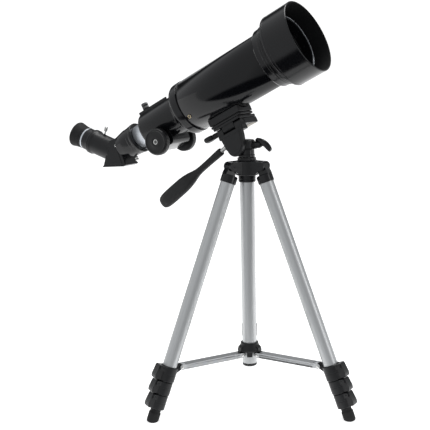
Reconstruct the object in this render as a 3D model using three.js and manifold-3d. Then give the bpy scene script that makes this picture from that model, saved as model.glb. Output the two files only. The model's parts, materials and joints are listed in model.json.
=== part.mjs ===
// A small refracting telescope on a folded-down photo tripod, in millimetres with +Z up.
// The telescope points along +X and is tipped up; the tilt hinge lies along Y.
import * as THREE from 'three';
import { mergeVertices } from 'three/addons/utils/BufferGeometryUtils.js';
import Module from 'manifold-3d';

const wasm = await Module();
wasm.setup();

const DEG = Math.PI / 180;
const GAP = 0.3; // clearance left between pieces that touch
const LARGE = 48; // sides of a large round
const MEDIUM = 24; // sides of a medium round
const KNOB_SIDES = 32;
const SMALL = 12; // sides of a small round
const WELD = 1e-4; // vertices closer than this are one vertex

// ---------------------------------------------------------------- materials

function finish(color, roughness, metalness) {
  return new THREE.MeshStandardMaterial({ color, roughness, metalness });
}

const GLOSS_PAINT = finish(0x0a0b0d, 0.12, 0);
const GLOSS_PLASTIC = finish(0x111214, 0.18, 0);
const MATTE_PLASTIC = finish(0x1a1b1d, 0.6, 0);
const BLACK_METAL = finish(0x17181a, 0.4, 0.6);
const SILVER = finish(0xb9bcc0, 0.35, 1);
const CHROME = finish(0xd5d7da, 0.1, 1);
const RUBBER = finish(0x131314, 0.85, 0);
const GLASS = finish(0x9fb4c8, 0.05, 0);

// ---------------------------------------------------------------- shapes

// A turned solid about +Z from [radius, height] points, counter-clockwise seen with Z up.
function turned(profile, sides = MEDIUM) {
  const points = profile.map(([radius, height]) => new THREE.Vector2(radius, height));
  const startsOnAxis = profile[0][0] === 0 && profile.at(-1)[0] === 0;
  if (!startsOnAxis) {
    points.push(points[0].clone());
  }
  return new THREE.LatheGeometry(points, sides).rotateX(Math.PI / 2);
}

// The same, with heights read as distances behind the telescope's front, along -X.
function turnedBack(profile, sides = LARGE) {
  return turned(profile, sides).rotateY(-Math.PI / 2);
}

function ring(inner, outer, low, high, sides = MEDIUM) {
  return turned([[inner, low], [outer, low], [outer, high], [inner, high]], sides);
}

function rod(radius, start, end, sides = SMALL) {
  const from = new THREE.Vector3(...start);
  const to = new THREE.Vector3(...end);
  const along = to.clone().sub(from);
  const middle = from.clone().add(to).multiplyScalar(0.5);
  const turn = new THREE.Quaternion().setFromUnitVectors(
    new THREE.Vector3(0, 1, 0),
    along.clone().normalize(),
  );
  const geometry = new THREE.CylinderGeometry(radius, radius, along.length(), sides);
  return geometry.applyQuaternion(turn).translate(middle.x, middle.y, middle.z);
}

function block(x, y, z) {
  const geometry = new THREE.BoxGeometry(x[1] - x[0], y[1] - y[0], z[1] - z[0]);
  return geometry.translate((x[0] + x[1]) / 2, (y[0] + y[1]) / 2, (z[0] + z[1]) / 2);
}

function outline(points) {
  return new THREE.Shape(points.map(([a, b]) => new THREE.Vector2(a, b)));
}

// A plate with its outline in the XZ plane and its thickness along Y.
function plate(points, y) {
  const options = { depth: y[1] - y[0], bevelEnabled: false };
  const geometry = new THREE.ExtrudeGeometry(outline(points), options);
  return geometry.rotateX(Math.PI / 2).translate(0, y[1], 0);
}

// A bar with its outline in the YZ plane and its length along X.
function bar(points, x) {
  const options = { depth: x[1] - x[0], bevelEnabled: false };
  const geometry = new THREE.ExtrudeGeometry(outline(points), options);
  return geometry.rotateX(Math.PI / 2).rotateZ(Math.PI / 2).translate(x[0], 0, 0);
}

// Points of an arc about a centre, from one angle to another in degrees.
function arc(centre, radius, from, to, steps) {
  return Array.from({ length: steps + 1 }, (_, step) => {
    const angle = (from + ((to - from) * step) / steps) * DEG;
    return [centre[0] + radius * Math.cos(angle), centre[1] + radius * Math.sin(angle)];
  });
}

// A closed skin through oval sections [x, half height, half thickness] in order of x.
function lofted(sections, sides = SMALL) {
  const positions = [];
  const faces = [];
  sections.forEach(([x, halfHeight, halfThickness]) => {
    for (let side = 0; side < sides; side += 1) {
      const angle = (side / sides) * 2 * Math.PI;
      positions.push(x, halfThickness * Math.cos(angle), halfHeight * Math.sin(angle));
    }
  });
  const first = positions.length / 3;
  positions.push(sections[0][0], 0, 0, sections.at(-1)[0], 0, 0);
  const lastRing = (sections.length - 1) * sides;
  for (let side = 0; side < sides; side += 1) {
    const next = (side + 1) % sides;
    for (let base = 0; base < lastRing; base += sides) {
      faces.push(base + side, base + next, base + sides + side);
      faces.push(base + next, base + sides + next, base + sides + side);
    }
    faces.push(first, next, side);
    faces.push(first + 1, lastRing + side, lastRing + next);
  }
  const geometry = new THREE.BufferGeometry();
  geometry.setAttribute('position', new THREE.Float32BufferAttribute(positions, 3));
  geometry.setIndex(faces);
  return geometry;
}

// ---------------------------------------------------------------- solids

function toSolid(geometry) {
  const bare = new THREE.BufferGeometry();
  bare.setAttribute('position', geometry.getAttribute('position').clone());
  bare.setIndex(geometry.index);
  const welded = mergeVertices(bare, WELD);
  const corners = [];
  for (let at = 0; at < welded.index.count; at += 3) {
    const [a, b, c] = [0, 1, 2].map((step) => welded.index.getX(at + step));
    if (a !== b && b !== c && c !== a) {
      corners.push(a, b, c);
    }
  }
  return new wasm.Manifold(new wasm.Mesh({
    numProp: 3,
    vertProperties: new Float32Array(welded.getAttribute('position').array),
    triVerts: new Uint32Array(corners),
  }));
}

function toGeometry(solid) {
  const mesh = solid.getMesh();
  const geometry = new THREE.BufferGeometry();
  geometry.setAttribute('position', new THREE.BufferAttribute(mesh.vertProperties, 3));
  geometry.setIndex(new THREE.BufferAttribute(mesh.triVerts, 1));
  return geometry;
}

function joined(...pieces) {
  return toGeometry(pieces.map(toSolid).reduce((whole, piece) => whole.add(piece)));
}

function cut(base, ...cutters) {
  return toGeometry(cutters.map(toSolid).reduce((rest, cutter) => rest.subtract(cutter), toSolid(base)));
}

function mesh(name, geometry, material) {
  const flat = geometry.index ? geometry.toNonIndexed() : geometry;
  flat.computeVertexNormals();
  const result = new THREE.Mesh(flat, material);
  result.name = name;
  return result;
}

function group(...members) {
  const result = new THREE.Group();
  result.add(...members);
  return result;
}

// ---------------------------------------------------------------- tripod legs

const LEG_LEAN = 21.4 * DEG; // each leg's angle from the vertical
const LEG_TOP = { radius: 23.44, height: 339.46 }; // where a leg's axis starts
const LEG_AZIMUTHS = { near: 240, front: 0, far: 120 };
const HINGE = { out: 2.7, up: 2 }; // the hinge pin's place from the top of the leg's axis
const KNUCKLE = { top: 9.5, bottom: 21, radius: 11.3, tongue: 5.9, eye: 6.1 };
const BRACE_PIN = { along: 282.5, inside: 17.4 };
const HINGE_PIN = 1.9; // radius of the leg and brace pins
const PIN_HOLE = HINGE_PIN + GAP;
const RIVET = 1.6; // radius of the rivets at the braces' ends
const BRACE_HOLE = RIVET + GAP;
const LUG_HALF = 3.2; // half thickness of the lugs between the brace's sides
const LEVER_HALF = 6.5; // half width of a lock's lever
const LEVER_PIN = { radius: 3.2, half: 8.2, below: 4.6 };
const PAST = 1; // how far a cutter runs past what it cuts

// Nested sections: tube radii, the stations of each tube, and the lock at its lower end.
const SECTIONS = [
  {
    outer: 10,
    inner: 9,
    top: KNUCKLE.top + 3.3,
    end: 300,
    lock: { top: 285, bottom: 306, radius: 12.4, reach: 20.5 },
  },
  {
    outer: 8.6,
    inner: 7.8,
    top: 30,
    end: 320,
    lock: { top: 306.3, bottom: 325.2, radius: 11.6, reach: 18.8 },
  },
  {
    outer: 7.4,
    inner: 6.6,
    top: 40,
    end: 340,
    lock: { top: 325.5, bottom: 346, radius: 10.9, reach: 17.4 },
  },
];
const LAST_SECTION = { radius: 6.2, top: 50, foot: 350, footRadius: 8.25, bottom: 366.6 };

function knuckle() {
  const { top, bottom, radius, tongue, eye } = KNUCKLE;
  const bore = SECTIONS[0].outer + GAP;
  const collar = turned([
    [0, -bottom + 0.4],
    [radius - 0.6, -bottom],
    [radius, -bottom + 0.8],
    [radius, -top - 1],
    [radius - 1, -top],
    [0, -top],
  ]);
  const cheek = plate([
    [-5, -top - PAST],
    [radius - 1.2, -top - PAST],
    ...arc([HINGE.out, HINGE.up], eye, -20, 170, 8),
  ], [-tongue, tongue]);
  const socket = rod(bore, [0, 0, -bottom - PAST], [0, 0, -top - 3], MEDIUM);
  const ends = [-tongue - PAST, tongue + PAST].map((y) => [HINGE.out, y, HINGE.up]);
  const pinHole = rod(PIN_HOLE, ...ends);
  return cut(joined(collar, cheek), socket, pinHole);
}

function legTube({ outer, inner, top, end }) {
  return ring(inner, outer, -end, -top);
}

function lockBody(section, next) {
  const { top, bottom, radius, reach } = section.lock;
  const collar = turned([
    [0, -bottom],
    [radius - 0.8, -bottom],
    [radius, -bottom + 0.8],
    [radius, -top - 0.8],
    [radius - 0.8, -top],
    [0, -top],
  ]);
  const middle = (top + bottom) / 2;
  const half = (bottom - top) / 2 - 1.2;
  const lever = plate([
    [radius - 4, -middle - half],
    [reach - 2, -middle - half],
    [reach, -middle - half + 3],
    [reach - 1, -middle + half],
    [radius - 4, -middle + half],
  ], [-LEVER_HALF, LEVER_HALF]);
  const pinAlong = -top - LEVER_PIN.below;
  const pin = rod(LEVER_PIN.radius, [radius, -LEVER_PIN.half, pinAlong], [radius, LEVER_PIN.half, pinAlong]);
  const upper = rod(section.outer + GAP, [0, 0, -section.end - GAP], [0, 0, -top + PAST], MEDIUM);
  const lower = rod(next + GAP, [0, 0, -bottom - PAST], [0, 0, -top + PAST], MEDIUM);
  return cut(joined(collar, lever, pin), upper, lower);
}

// The lug on the first lock's inner side that holds the brace's outer pin.
function braceLug() {
  const { along, inside } = BRACE_PIN;
  const root = -10.8;
  return plate([
    [root, -along - 12],
    [root, -along - 2.6],
    [-inside + 2, -along + 3.4],
    ...arc([-inside, -along], 3.2, 70, 250, 6),
  ], [-LUG_HALF, LUG_HALF]);
}

function firstLock() {
  const { along, inside } = BRACE_PIN;
  const { outer, end, lock } = SECTIONS[0];
  const lock1 = lockBody(SECTIONS[0], SECTIONS[1].outer);
  const pinHole = rod(BRACE_HOLE, [-inside, -LUG_HALF - PAST, -along], [-inside, LUG_HALF + PAST, -along]);
  const bore = rod(outer + GAP, [0, 0, -end - GAP], [0, 0, -lock.top + 15], MEDIUM);
  return cut(joined(lock1, braceLug()), pinHole, bore);
}

// The last section: an inner rod ending in a foot that is cut flat where it meets the floor.
function footSection() {
  const { radius, top, foot, footRadius, bottom } = LAST_SECTION;
  const body = turned([
    [0, -bottom],
    [footRadius - 4.2, -bottom + 0.4],
    [footRadius - 1.2, -bottom + 2.6],
    [footRadius, -bottom + 6],
    [footRadius - 0.2, -foot - 1],
    [footRadius - 1.2, -foot],
    [radius, -foot],
    [radius, -top],
    [0, -top],
  ]);
  const floorAlong = LEG_TOP.height / Math.cos(LEG_LEAN);
  const floor = block([-bottom, bottom], [-bottom, bottom], [-bottom, 0]).rotateY(LEG_LEAN);
  return cut(body, floor.translate(0, 0, -floorAlong));
}

function leg(side) {
  const prefix = `${side}_leg`;
  const members = group(
    mesh(`${prefix}_knuckle`, knuckle(), MATTE_PLASTIC),
    mesh(`${prefix}_tube_1`, legTube(SECTIONS[0]), SILVER),
    mesh(`${prefix}_lock_1`, firstLock(), MATTE_PLASTIC),
    mesh(`${prefix}_tube_2`, legTube(SECTIONS[1]), SILVER),
    mesh(`${prefix}_lock_2`, lockBody(SECTIONS[1], SECTIONS[2].outer), MATTE_PLASTIC),
    mesh(`${prefix}_tube_3`, legTube(SECTIONS[2]), SILVER),
    mesh(`${prefix}_lock_3`, lockBody(SECTIONS[2], LAST_SECTION.radius), MATTE_PLASTIC),
    mesh(`${prefix}_foot_section`, footSection(), RUBBER),
  );
  members.position.set(LEG_TOP.radius, 0, LEG_TOP.height);
  members.rotation.y = -LEG_LEAN;
  const turnedLeg = group(members);
  turnedLeg.rotation.z = LEG_AZIMUTHS[side] * DEG;
  return turnedLeg;
}

// ---------------------------------------------------------------- centre column and braces

const COLUMN = { outer: 10.25, inner: 9.35, low: 56.7, high: 349 };
const CAP = { radius: 10.4, low: 52.6, high: 64 };
const ELEVATOR = { outer: 9, inner: 7.9, low: 80, high: 361.7 };
const HUB = { sleeveLow: 319.6, low: 329.3, high: 349.4, radius: 16.5 };
const PIN_RADIUS = LEG_TOP.radius + HINGE.out * Math.cos(LEG_LEAN) - HINGE.up * Math.sin(LEG_LEAN);
const PIN_HEIGHT = LEG_TOP.height + HINGE.out * Math.sin(LEG_LEAN) + HINGE.up * Math.cos(LEG_LEAN);
const EAR = { inside: 6.2, outside: 9.8, eye: 6.4 };
const BRACE = { height: 70.1, inner: 14.6, outer: 110.3, half: 6.25, rise: 3.5, wall: 1.2 };
const BRACE_HUB = { low: 74.6, high: 87.4, tab: 3.3, skirt: { low: 67.6, half: 4, outer: 14.2 } };
const LOCK_RING = { radius: 13, high: 353.6, notches: 12, notch: 1.2 };

// Two ears and a hinge pin that carry one leg's knuckle, at azimuth zero.
function ears() {
  const shape = [
    [13, HUB.low + 1],
    [PIN_RADIUS - 6, HUB.low + 3.5],
    ...arc([PIN_RADIUS, PIN_HEIGHT], EAR.eye, -100, 100, 8),
    [13, HUB.high],
  ];
  const left = plate(shape, [EAR.inside, EAR.outside]);
  const right = plate(shape, [-EAR.outside, -EAR.inside]);
  const ends = [-EAR.outside, EAR.outside].map((y) => [PIN_RADIUS, y, PIN_HEIGHT]);
  const pin = rod(HINGE_PIN, ...ends);
  return joined(left, right, pin);
}

function hub() {
  const body = turned([
    [0, HUB.sleeveLow],
    [12, HUB.sleeveLow],
    [12, HUB.low],
    [HUB.radius - 1, HUB.low],
    [HUB.radius, HUB.low + 1],
    [HUB.radius, HUB.high - 1.5],
    [HUB.radius - 1.5, HUB.high],
    [0, HUB.high],
  ]);
  const arms = Object.values(LEG_AZIMUTHS).map((azimuth) => ears().rotateZ(azimuth * DEG));
  const bore = rod(COLUMN.outer + GAP, [0, 0, HUB.sleeveLow - PAST], [0, 0, HUB.high + PAST], MEDIUM);
  return cut(joined(body, ...arms), bore);
}

function lockRing() {
  const { radius, high, notches: count, notch } = LOCK_RING;
  const collar = ring(ELEVATOR.outer + GAP, radius, HUB.high + GAP, high);
  const notches = Array.from({ length: count }, (_, step) => {
    const angle = (step / count) * 2 * Math.PI;
    const reach = radius + notch / 2;
    const at = [reach * Math.cos(angle), reach * Math.sin(angle)];
    return rod(notch, [...at, HUB.high - PAST], [...at, high + PAST]);
  });
  return cut(collar, ...notches);
}

function columnCap() {
  const { radius, low, high } = CAP;
  return turned([
    [0, low],
    [radius - 1, low],
    [radius, low + 1],
    [radius, COLUMN.low - GAP],
    [COLUMN.inner - GAP, COLUMN.low - GAP],
    [COLUMN.inner - GAP, high],
    [0, high],
  ]);
}

function braceHub() {
  const { low, high, tab: eye, skirt } = BRACE_HUB;
  const body = turned([
    [0, low],
    [16, low],
    [16.4, low + 3.9],
    [13.4, high - 5.4],
    [12.6, high],
    [0, high],
  ]);
  const tabs = Object.values(LEG_AZIMUTHS).map((azimuth) => {
    const tab = plate([
      [9, low + PAST],
      [9, BRACE.height - eye],
      ...arc([BRACE.inner, BRACE.height], eye, -90, 0, 6),
      [BRACE.inner + eye, low + PAST],
    ], [-LUG_HALF, LUG_HALF]);
    const ends = [-LUG_HALF - PAST, LUG_HALF + PAST].map((y) => [BRACE.inner, y, BRACE.height]);
    return cut(tab, rod(BRACE_HOLE, ...ends)).rotateZ(azimuth * DEG);
  });
  const skirts = Object.values(LEG_AZIMUTHS).map((azimuth) => {
    const tongue = block([9, skirt.outer], [-skirt.half, skirt.half], [skirt.low, low + PAST]);
    return tongue.rotateZ((azimuth + 60) * DEG);
  });
  const bore = rod(COLUMN.outer + GAP, [0, 0, BRACE.height - 9], [0, 0, high + PAST], MEDIUM);
  return cut(joined(body, ...tabs, ...skirts), bore);
}

// A downward-open channel with rounded ends and a rivet across each end.
function brace() {
  const { height, inner, outer, half, rise, wall } = BRACE;
  const side = [
    ...arc([inner, height], rise, 90, 270, 6),
    ...arc([outer, height], rise, -90, 90, 6),
  ];
  const inside = [-half + wall, half - wall];
  const clear = 9; // past the rounded ends
  const channel = cut(
    plate(side, [-half, half]),
    block([inner - clear, outer + clear], inside, [height - clear, height + rise - wall]),
    block([inner - clear, inner + 4.2], inside, [height - clear, height + clear]),
    block([outer - 7, outer + clear], inside, [height - clear, height + clear]),
  );
  const head = half + 0.6;
  const rivets = [inner, outer].map((at) => rod(RIVET, [at, -head, height], [at, head, height]));
  return joined(channel, ...rivets);
}

function braces() {
  return Object.entries(LEG_AZIMUTHS).map(([side, azimuth]) => {
    const geometry = brace().rotateZ(azimuth * DEG);
    return mesh(`${side}_brace`, geometry, SILVER);
  });
}

function centre() {
  const column = ring(COLUMN.inner, COLUMN.outer, COLUMN.low, COLUMN.high);
  const elevator = ring(ELEVATOR.inner, ELEVATOR.outer, ELEVATOR.low, ELEVATOR.high);
  return group(
    mesh('hub', hub(), MATTE_PLASTIC),
    mesh('column_tube', column, SILVER),
    mesh('elevator_column', elevator, SILVER),
    mesh('column_lock_ring', lockRing(), MATTE_PLASTIC),
    mesh('column_cap', columnCap(), MATTE_PLASTIC),
    mesh('brace_hub', braceHub(), MATTE_PLASTIC),
    ...braces(),
  );
}

// ---------------------------------------------------------------- pan head

const TILT_HEIGHT = 373.3;
const TILT_PIN = 3.5;
const NECK = { low: 353.9, high: 366, radius: 11.5, spigot: 6, spigotTop: 368.2 };
const TURRET = { low: 366.3, high: 378.5, radius: 11.8 };
const PAN_KNOB = { height: 371.6, stem: 2.2, collar: 4.8, inner: 7.4, outer: 24 };
const PAN_PADDLE = { x: 27.4, z: 372.6, reach: 9, half: 4.3, thick: 2.6, lean: -56 * DEG };

function panNeck() {
  const body = turned([
    [0, NECK.low],
    [NECK.radius, NECK.low],
    [NECK.radius, NECK.high],
    [NECK.spigot, NECK.high],
    [NECK.spigot, NECK.spigotTop],
    [0, NECK.spigotTop],
  ]);
  const socket = rod(ELEVATOR.outer + GAP, [0, 0, NECK.low - PAST], [0, 0, ELEVATOR.high + GAP], MEDIUM);
  return cut(body, socket);
}

function panTurret() {
  const body = turned([
    [0, TURRET.low],
    [TURRET.radius, TURRET.low],
    [TURRET.radius, TURRET.high - 3],
    [TURRET.radius - 2.5, TURRET.high],
    [0, TURRET.high],
  ]);
  const { radius } = TURRET;
  const seat = rod(NECK.spigot + GAP, [0, 0, TURRET.low - PAST], [0, 0, NECK.spigotTop + GAP]);
  const tiltBore = rod(TILT_PIN + GAP, [0, -radius - PAST, TILT_HEIGHT], [0, radius + PAST, TILT_HEIGHT]);
  const screwHole = rod(
    PAN_KNOB.stem + GAP,
    [PAN_KNOB.inner - GAP, 0, PAN_KNOB.height],
    [radius + PAST, 0, PAN_KNOB.height],
  );
  return cut(body, seat, tiltBore, screwHole);
}

// A stem with a flat thumb paddle across its outer end.
function panLockKnob() {
  const { height, stem, collar: neck, inner, outer } = PAN_KNOB;
  const { x, z, reach, half, thick, lean } = PAN_PADDLE;
  const shank = rod(stem, [inner, 0, height], [outer, 0, height]);
  const collar = rod(neck, [TURRET.radius + 2 * GAP, 0, height], [outer - 4, 0, height]);
  const paddle = plate([
    ...arc([0, reach], half, 0, 180, 8),
    ...arc([0, -reach], half, 180, 360, 8),
  ], [-thick, thick]).rotateY(lean).translate(x, 0, z);
  return joined(shank, collar, paddle);
}

function panHead() {
  return group(
    mesh('pan_neck', panNeck(), MATTE_PLASTIC),
    mesh('pan_turret', panTurret(), MATTE_PLASTIC),
    mesh('pan_lock_knob', panLockKnob(), MATTE_PLASTIC),
  );
}

// ---------------------------------------------------------------- tilting head, in telescope axes
// From here X runs forward along the optical axis, from the dew shield's front edge.

const TUBE = { outer: 38.4, inner: 37.2, from: 62.3, to: 203.2 };
const SPIGOT = TUBE.inner - GAP;
const ELEVATION = 26.4 * DEG; // how far the telescope is tipped up at rest
const TILT_AXIS = { x: -148.9, z: -85 }; // the tilt hinge in telescope axes
const FLIP = { y: -13, z: -57.5, radius: 4.8, from: -166, to: -146 };
const FLIP_SHANK = 2.4; // radius of the screw through the flip hinge
const FLIP_BORE = FLIP_SHANK + GAP;
const FLIP_WING = { from: -199.5, to: -186, half: 3.4, thick: 4.2 };
const HEAD_X = [-176, -134];
const PLATFORM = { x: [-180, -133], y: [-18.5, 28.5], low: -52.3, high: -48.6 };
const CAMERA_PLATE = { x: [-182, -129], half: 18.5, low: -48.3, high: -44.8 };
const SHELF = { y: [-7.5, 31], low: -60.6, top: -52.6 }; // what the platform closes onto
const BRIDGE = { inside: -4, low: -68.3, high: -63.3 };
const CHEEK = { inside: 12.2, outside: 20.2, top: -64 };
const PIN_END = 13.4; // how far the tilt pin reaches past the middle
const HANDLE = { x: -172, z: -79, y: -16.2, droop: 11.5 * DEG, rod: 2.9, front: 12, back: -36 };

function cheekOutline() {
  return [
    [-136, CHEEK.top],
    [-173.5, CHEEK.top],
    [-172.6, -80],
    ...arc([-158, -86.5], 12.2, 200, 310, 7),
    [-143, -90],
  ];
}

function flipBore() {
  const [rear, front] = HEAD_X;
  return rod(FLIP_BORE, [rear - PAST, FLIP.y, FLIP.z], [front + PAST, FLIP.y, FLIP.z]);
}

function flipLug(x) {
  const y = [FLIP.y - FLIP.radius, FLIP.y + FLIP.radius];
  const barrel = rod(FLIP.radius, [x[0], FLIP.y, FLIP.z], [x[1], FLIP.y, FLIP.z]);
  return joined(barrel, block(x, y, [CHEEK.top, FLIP.z]));
}

function tiltBody() {
  const { inside, outside } = CHEEK;
  const bridge = block(HEAD_X, [-outside, BRIDGE.inside], [BRIDGE.low, BRIDGE.high]);
  const riser = block(HEAD_X, [SHELF.y[0], BRIDGE.inside], [BRIDGE.low, SHELF.low + PAST]);
  const shelf = block(HEAD_X, SHELF.y, [SHELF.low, SHELF.top]);
  const cheek = plate(cheekOutline(), [-outside, -inside]);
  const ends = [-inside - PAST, PIN_END].map((y) => [TILT_AXIS.x, y, TILT_AXIS.z]);
  const pin = rod(TILT_PIN, ...ends);
  const lugs = [
    flipLug([HEAD_X[0], FLIP.from - GAP]),
    flipLug([FLIP.to + GAP, HEAD_X[1]]),
  ];
  const knobBore = flipBore();
  const handleBore = rod(HANDLE.rod + GAP, [-20, 0, 0], [HANDLE.front + GAP, 0, 0])
    .rotateY(-HANDLE.droop)
    .translate(HANDLE.x, HANDLE.y, HANDLE.z);
  return cut(joined(bridge, riser, shelf, cheek, pin, ...lugs), knobBore, handleBore);
}

function handleRod() {
  return rod(HANDLE.rod, [HANDLE.front, 0, 0], [HANDLE.back, 0, 0]);
}

// Half heights and half thicknesses along the grip, from its butt to the rod.
function handleGrip() {
  const skin = lofted([
    [-141.5, 3.5, 2.4],
    [-139.5, 7.6, 4.8],
    [-134, 10.2, 6.2],
    [-122, 11.2, 7],
    [-90, 11, 7],
    [-76, 9, 6.4],
    [-60, 5.2, 5.2],
    [-50, 4.6, 4.8],
    [-14, 5.4, 5.2],
    [-10.4, 5.4, 5.2],
    [-9.4, 4.6, 4.4],
  ]);
  return cut(skin, rod(HANDLE.rod + GAP, [HANDLE.back - GAP, 0, 0], [0, 0, 0]));
}

function handle() {
  const members = group(
    mesh('handle_rod', handleRod(), SILVER),
    mesh('handle_grip', handleGrip(), MATTE_PLASTIC),
  );
  members.position.set(HANDLE.x, HANDLE.y, HANDLE.z);
  members.rotation.y = -HANDLE.droop;
  return members;
}

function flipPlatform() {
  const { x, y, low, high } = PLATFORM;
  const slab = block(x, y, [low, high]);
  const barrel = rod(FLIP.radius, [FLIP.from, FLIP.y, FLIP.z], [FLIP.to, FLIP.y, FLIP.z]);
  const neck = block([FLIP.from, FLIP.to], [FLIP.y - 4, FLIP.y + 4], [FLIP.z, low + PAST]);
  return cut(joined(slab, barrel, neck), flipBore());
}

function flipLockKnob() {
  const at = [FLIP.y, FLIP.z];
  const { from, to, half, thick } = FLIP_WING;
  const shank = rod(FLIP_SHANK, [-180, ...at], [-138, ...at]);
  const collar = rod(3.4, [to - PAST, ...at], [HEAD_X[0] - 0.4, ...at]);
  const wing = bar([
    ...arc([half, 0], thick, -90, 90, 8),
    ...arc([-half, 0], thick, 90, 270, 8),
  ], [from, to]).translate(0, ...at);
  return joined(shank, collar, wing);
}

function cameraPlate() {
  const { x, half, low, high } = CAMERA_PLATE;
  return block(x, [-half, half], [low, high]);
}

// The foot fixed under the tube, hollowed to fit it.
function mountingFoot() {
  const { x: [rear, front], high } = CAMERA_PLATE;
  const body = block([rear, front], [-18, 18], [high + GAP, -33]);
  const saddle = rod(TUBE.outer + GAP, [rear - PAST, 0, 0], [front + PAST, 0, 0], LARGE);
  return cut(body, saddle);
}

function tiltHead() {
  return group(
    mesh('tilt_body', tiltBody(), MATTE_PLASTIC),
    mesh('flip_platform', flipPlatform(), MATTE_PLASTIC),
    mesh('flip_lock_knob', flipLockKnob(), MATTE_PLASTIC),
    mesh('camera_plate', cameraPlate(), MATTE_PLASTIC),
    mesh('mounting_foot', mountingFoot(), BLACK_METAL),
    handle(),
  );
}

// ---------------------------------------------------------------- telescope

const FOCUSER = { front: 190, flange: TUBE.to + GAP, flangeRadius: 39, neck: 28, rear: 290 };
const PINION = { x: -262.4, z: -27.2, drum: 6.2, drumHalf: 4.5, shaft: 3, shaftHalf: 37 };
const PINION_BOX = { x: [-282, -244], z: [-37.6, -19.5] };
const KNOB = { radius: 19.5, stem: 8, inner: 21.7, disc: 29.6, face: 40.3, bottom: 37.4 };
const DRAWTUBE = { outer: 17.7, inner: 16.2, from: 200, to: 311 };
const RACK = { x: [-309, -206], half: 3, low: -21 };
const NOSE = 15.87; // radius of a 1.25 inch fitting
const BEND_X = -364; // where the diagonal turns the optical axis
const LIGHT_PATH = 13.6; // radius of the bore through the diagonal
const LOCK_SCREW_X = -281;
const LOCK_SCREW = 2; // radius of its shank
const RAIL = { x: [-290.5, -236], half: 9, low: 25.8, floor: 27.4, high: 30 };
const CLAMP_X = -333;
const SMALL_SCREW = 1.2; // radius of the clamp and set screws' shanks
const SET_SCREW_ALONG = 28;
const DIAGONAL = { front: 311.3, ring: 23.2, half: 16 };

function dewShield() {
  return turnedBack([
    [49, 0],
    [50.5, 0],
    [51, 0.6],
    [51, 40.8],
    [49.8, 42],
    [40.6, 42],
    [40.6, 40],
    [49, 40],
  ]);
}

function lensCell() {
  return turnedBack([
    [35, 34],
    [40.3, 34],
    [40.3, 42.3],
    [44, 42.3],
    [44, 46.4],
    [43.2, 47],
    [42.4, 53.2],
    [42, 62],
    [SPIGOT, 62],
    [SPIGOT, 70],
    [34.5, 70],
    [34.5, 58],
    [36, 58],
    [36, 46],
    [35, 46],
  ]);
}

function objectiveLens() {
  return turnedBack([
    [0, 46],
    [12, 46.3],
    [24, 47.3],
    [35.7, 49],
    [35.7, 56.5],
    [24, 57.2],
    [0, 57.6],
  ]);
}

function mainTube() {
  return turnedBack([
    [TUBE.inner, TUBE.from],
    [TUBE.outer, TUBE.from],
    [TUBE.outer, TUBE.to],
    [TUBE.inner, TUBE.to],
  ]);
}

function lockScrewHole() {
  return rod(LOCK_SCREW + GAP, [LOCK_SCREW_X, 0, 15], [LOCK_SCREW_X, 0, 40]);
}

// The rear casting: a spigot in the tube, a shoulder, the drawtube's bore and the pinion's box.
function focuserBody() {
  const { front, flange, flangeRadius, neck, rear } = FOCUSER;
  const bore = DRAWTUBE.outer + GAP;
  const shell = turnedBack([
    [35.2, front],
    [SPIGOT, front],
    [SPIGOT, flange],
    [flangeRadius, flange],
    [flangeRadius, flange + 9.5],
    [38.2, flange + 12.5],
    [35.6, flange + 15.1],
    [29.4, flange + 17.9],
    [neck, flange + 20.5],
    [neck, rear - 3.2],
    [neck - 1.2, rear - 0.8],
    [neck - 3.4, rear],
    [bore, rear],
    [bore, flange + 19.5],
    [35.2, flange + 7.5],
  ]);
  const boxHalf = KNOB.inner - GAP;
  const pinionBox = block(PINION_BOX.x, [-boxHalf, boxHalf], PINION_BOX.z);
  const drawBore = rod(bore, [-rear - PAST, 0, 0], [-flange - 13, 0, 0], LARGE);
  const rackHalf = RACK.half + GAP;
  const rackSlot = block([-rear - PAST, -flange - 11], [-rackHalf, rackHalf], [RACK.low - 0.4, -10]);
  const { x, z, drum, drumHalf, shaft } = PINION;
  const pinionRoom = rod(drum + 0.8, [x, -drumHalf - 0.5, z], [x, drumHalf + 0.5, z]);
  const shaftBore = rod(shaft + GAP, [x, -boxHalf - PAST, z], [x, boxHalf + PAST, z]);
  const railHalf = RAIL.half + GAP;
  const railX = [-rear - PAST, RAIL.x[1] + GAP];
  const railSeat = block(railX, [-railHalf, railHalf], [RAIL.low - GAP, neck + 10]);
  const screwHole = lockScrewHole();
  return cut(joined(shell, pinionBox), drawBore, rackSlot, pinionRoom, shaftBore, railSeat, screwHole);
}

function finderRail() {
  const { x, half, low, floor, high } = RAIL;
  const mouth = 5.6;
  const root = 7.2;
  const shoe = bar([
    [-half, low],
    [half, low],
    [half, high],
    [mouth, high],
    [root, floor],
    [-root, floor],
    [-mouth, high],
    [-half, high],
  ], x);
  return cut(shoe, lockScrewHole());
}

// A thumbscrew along +Z: where its shank and its ribbed head start, and where it ends.
function thumbscrew(shank, [low, neck, high], head) {
  const ribs = 14;
  const teeth = Array.from({ length: ribs * 2 }, (_, step) => {
    const radius = step % 2 === 0 ? head : head - 0.5;
    const angle = (step / ribs) * Math.PI;
    return new THREE.Vector2(radius * Math.cos(angle), radius * Math.sin(angle));
  });
  const options = { depth: high - neck, bevelEnabled: false };
  const top = new THREE.ExtrudeGeometry(new THREE.Shape(teeth), options).translate(0, 0, neck);
  return joined(rod(shank, [0, 0, low], [0, 0, neck + 1]), top);
}

function pinionShaft() {
  const { x, z, drum, drumHalf, shaft, shaftHalf } = PINION;
  const axle = rod(shaft, [x, -shaftHalf, z], [x, shaftHalf, z]);
  return joined(axle, rod(drum, [x, -drumHalf, z], [x, drumHalf, z]));
}

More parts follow.
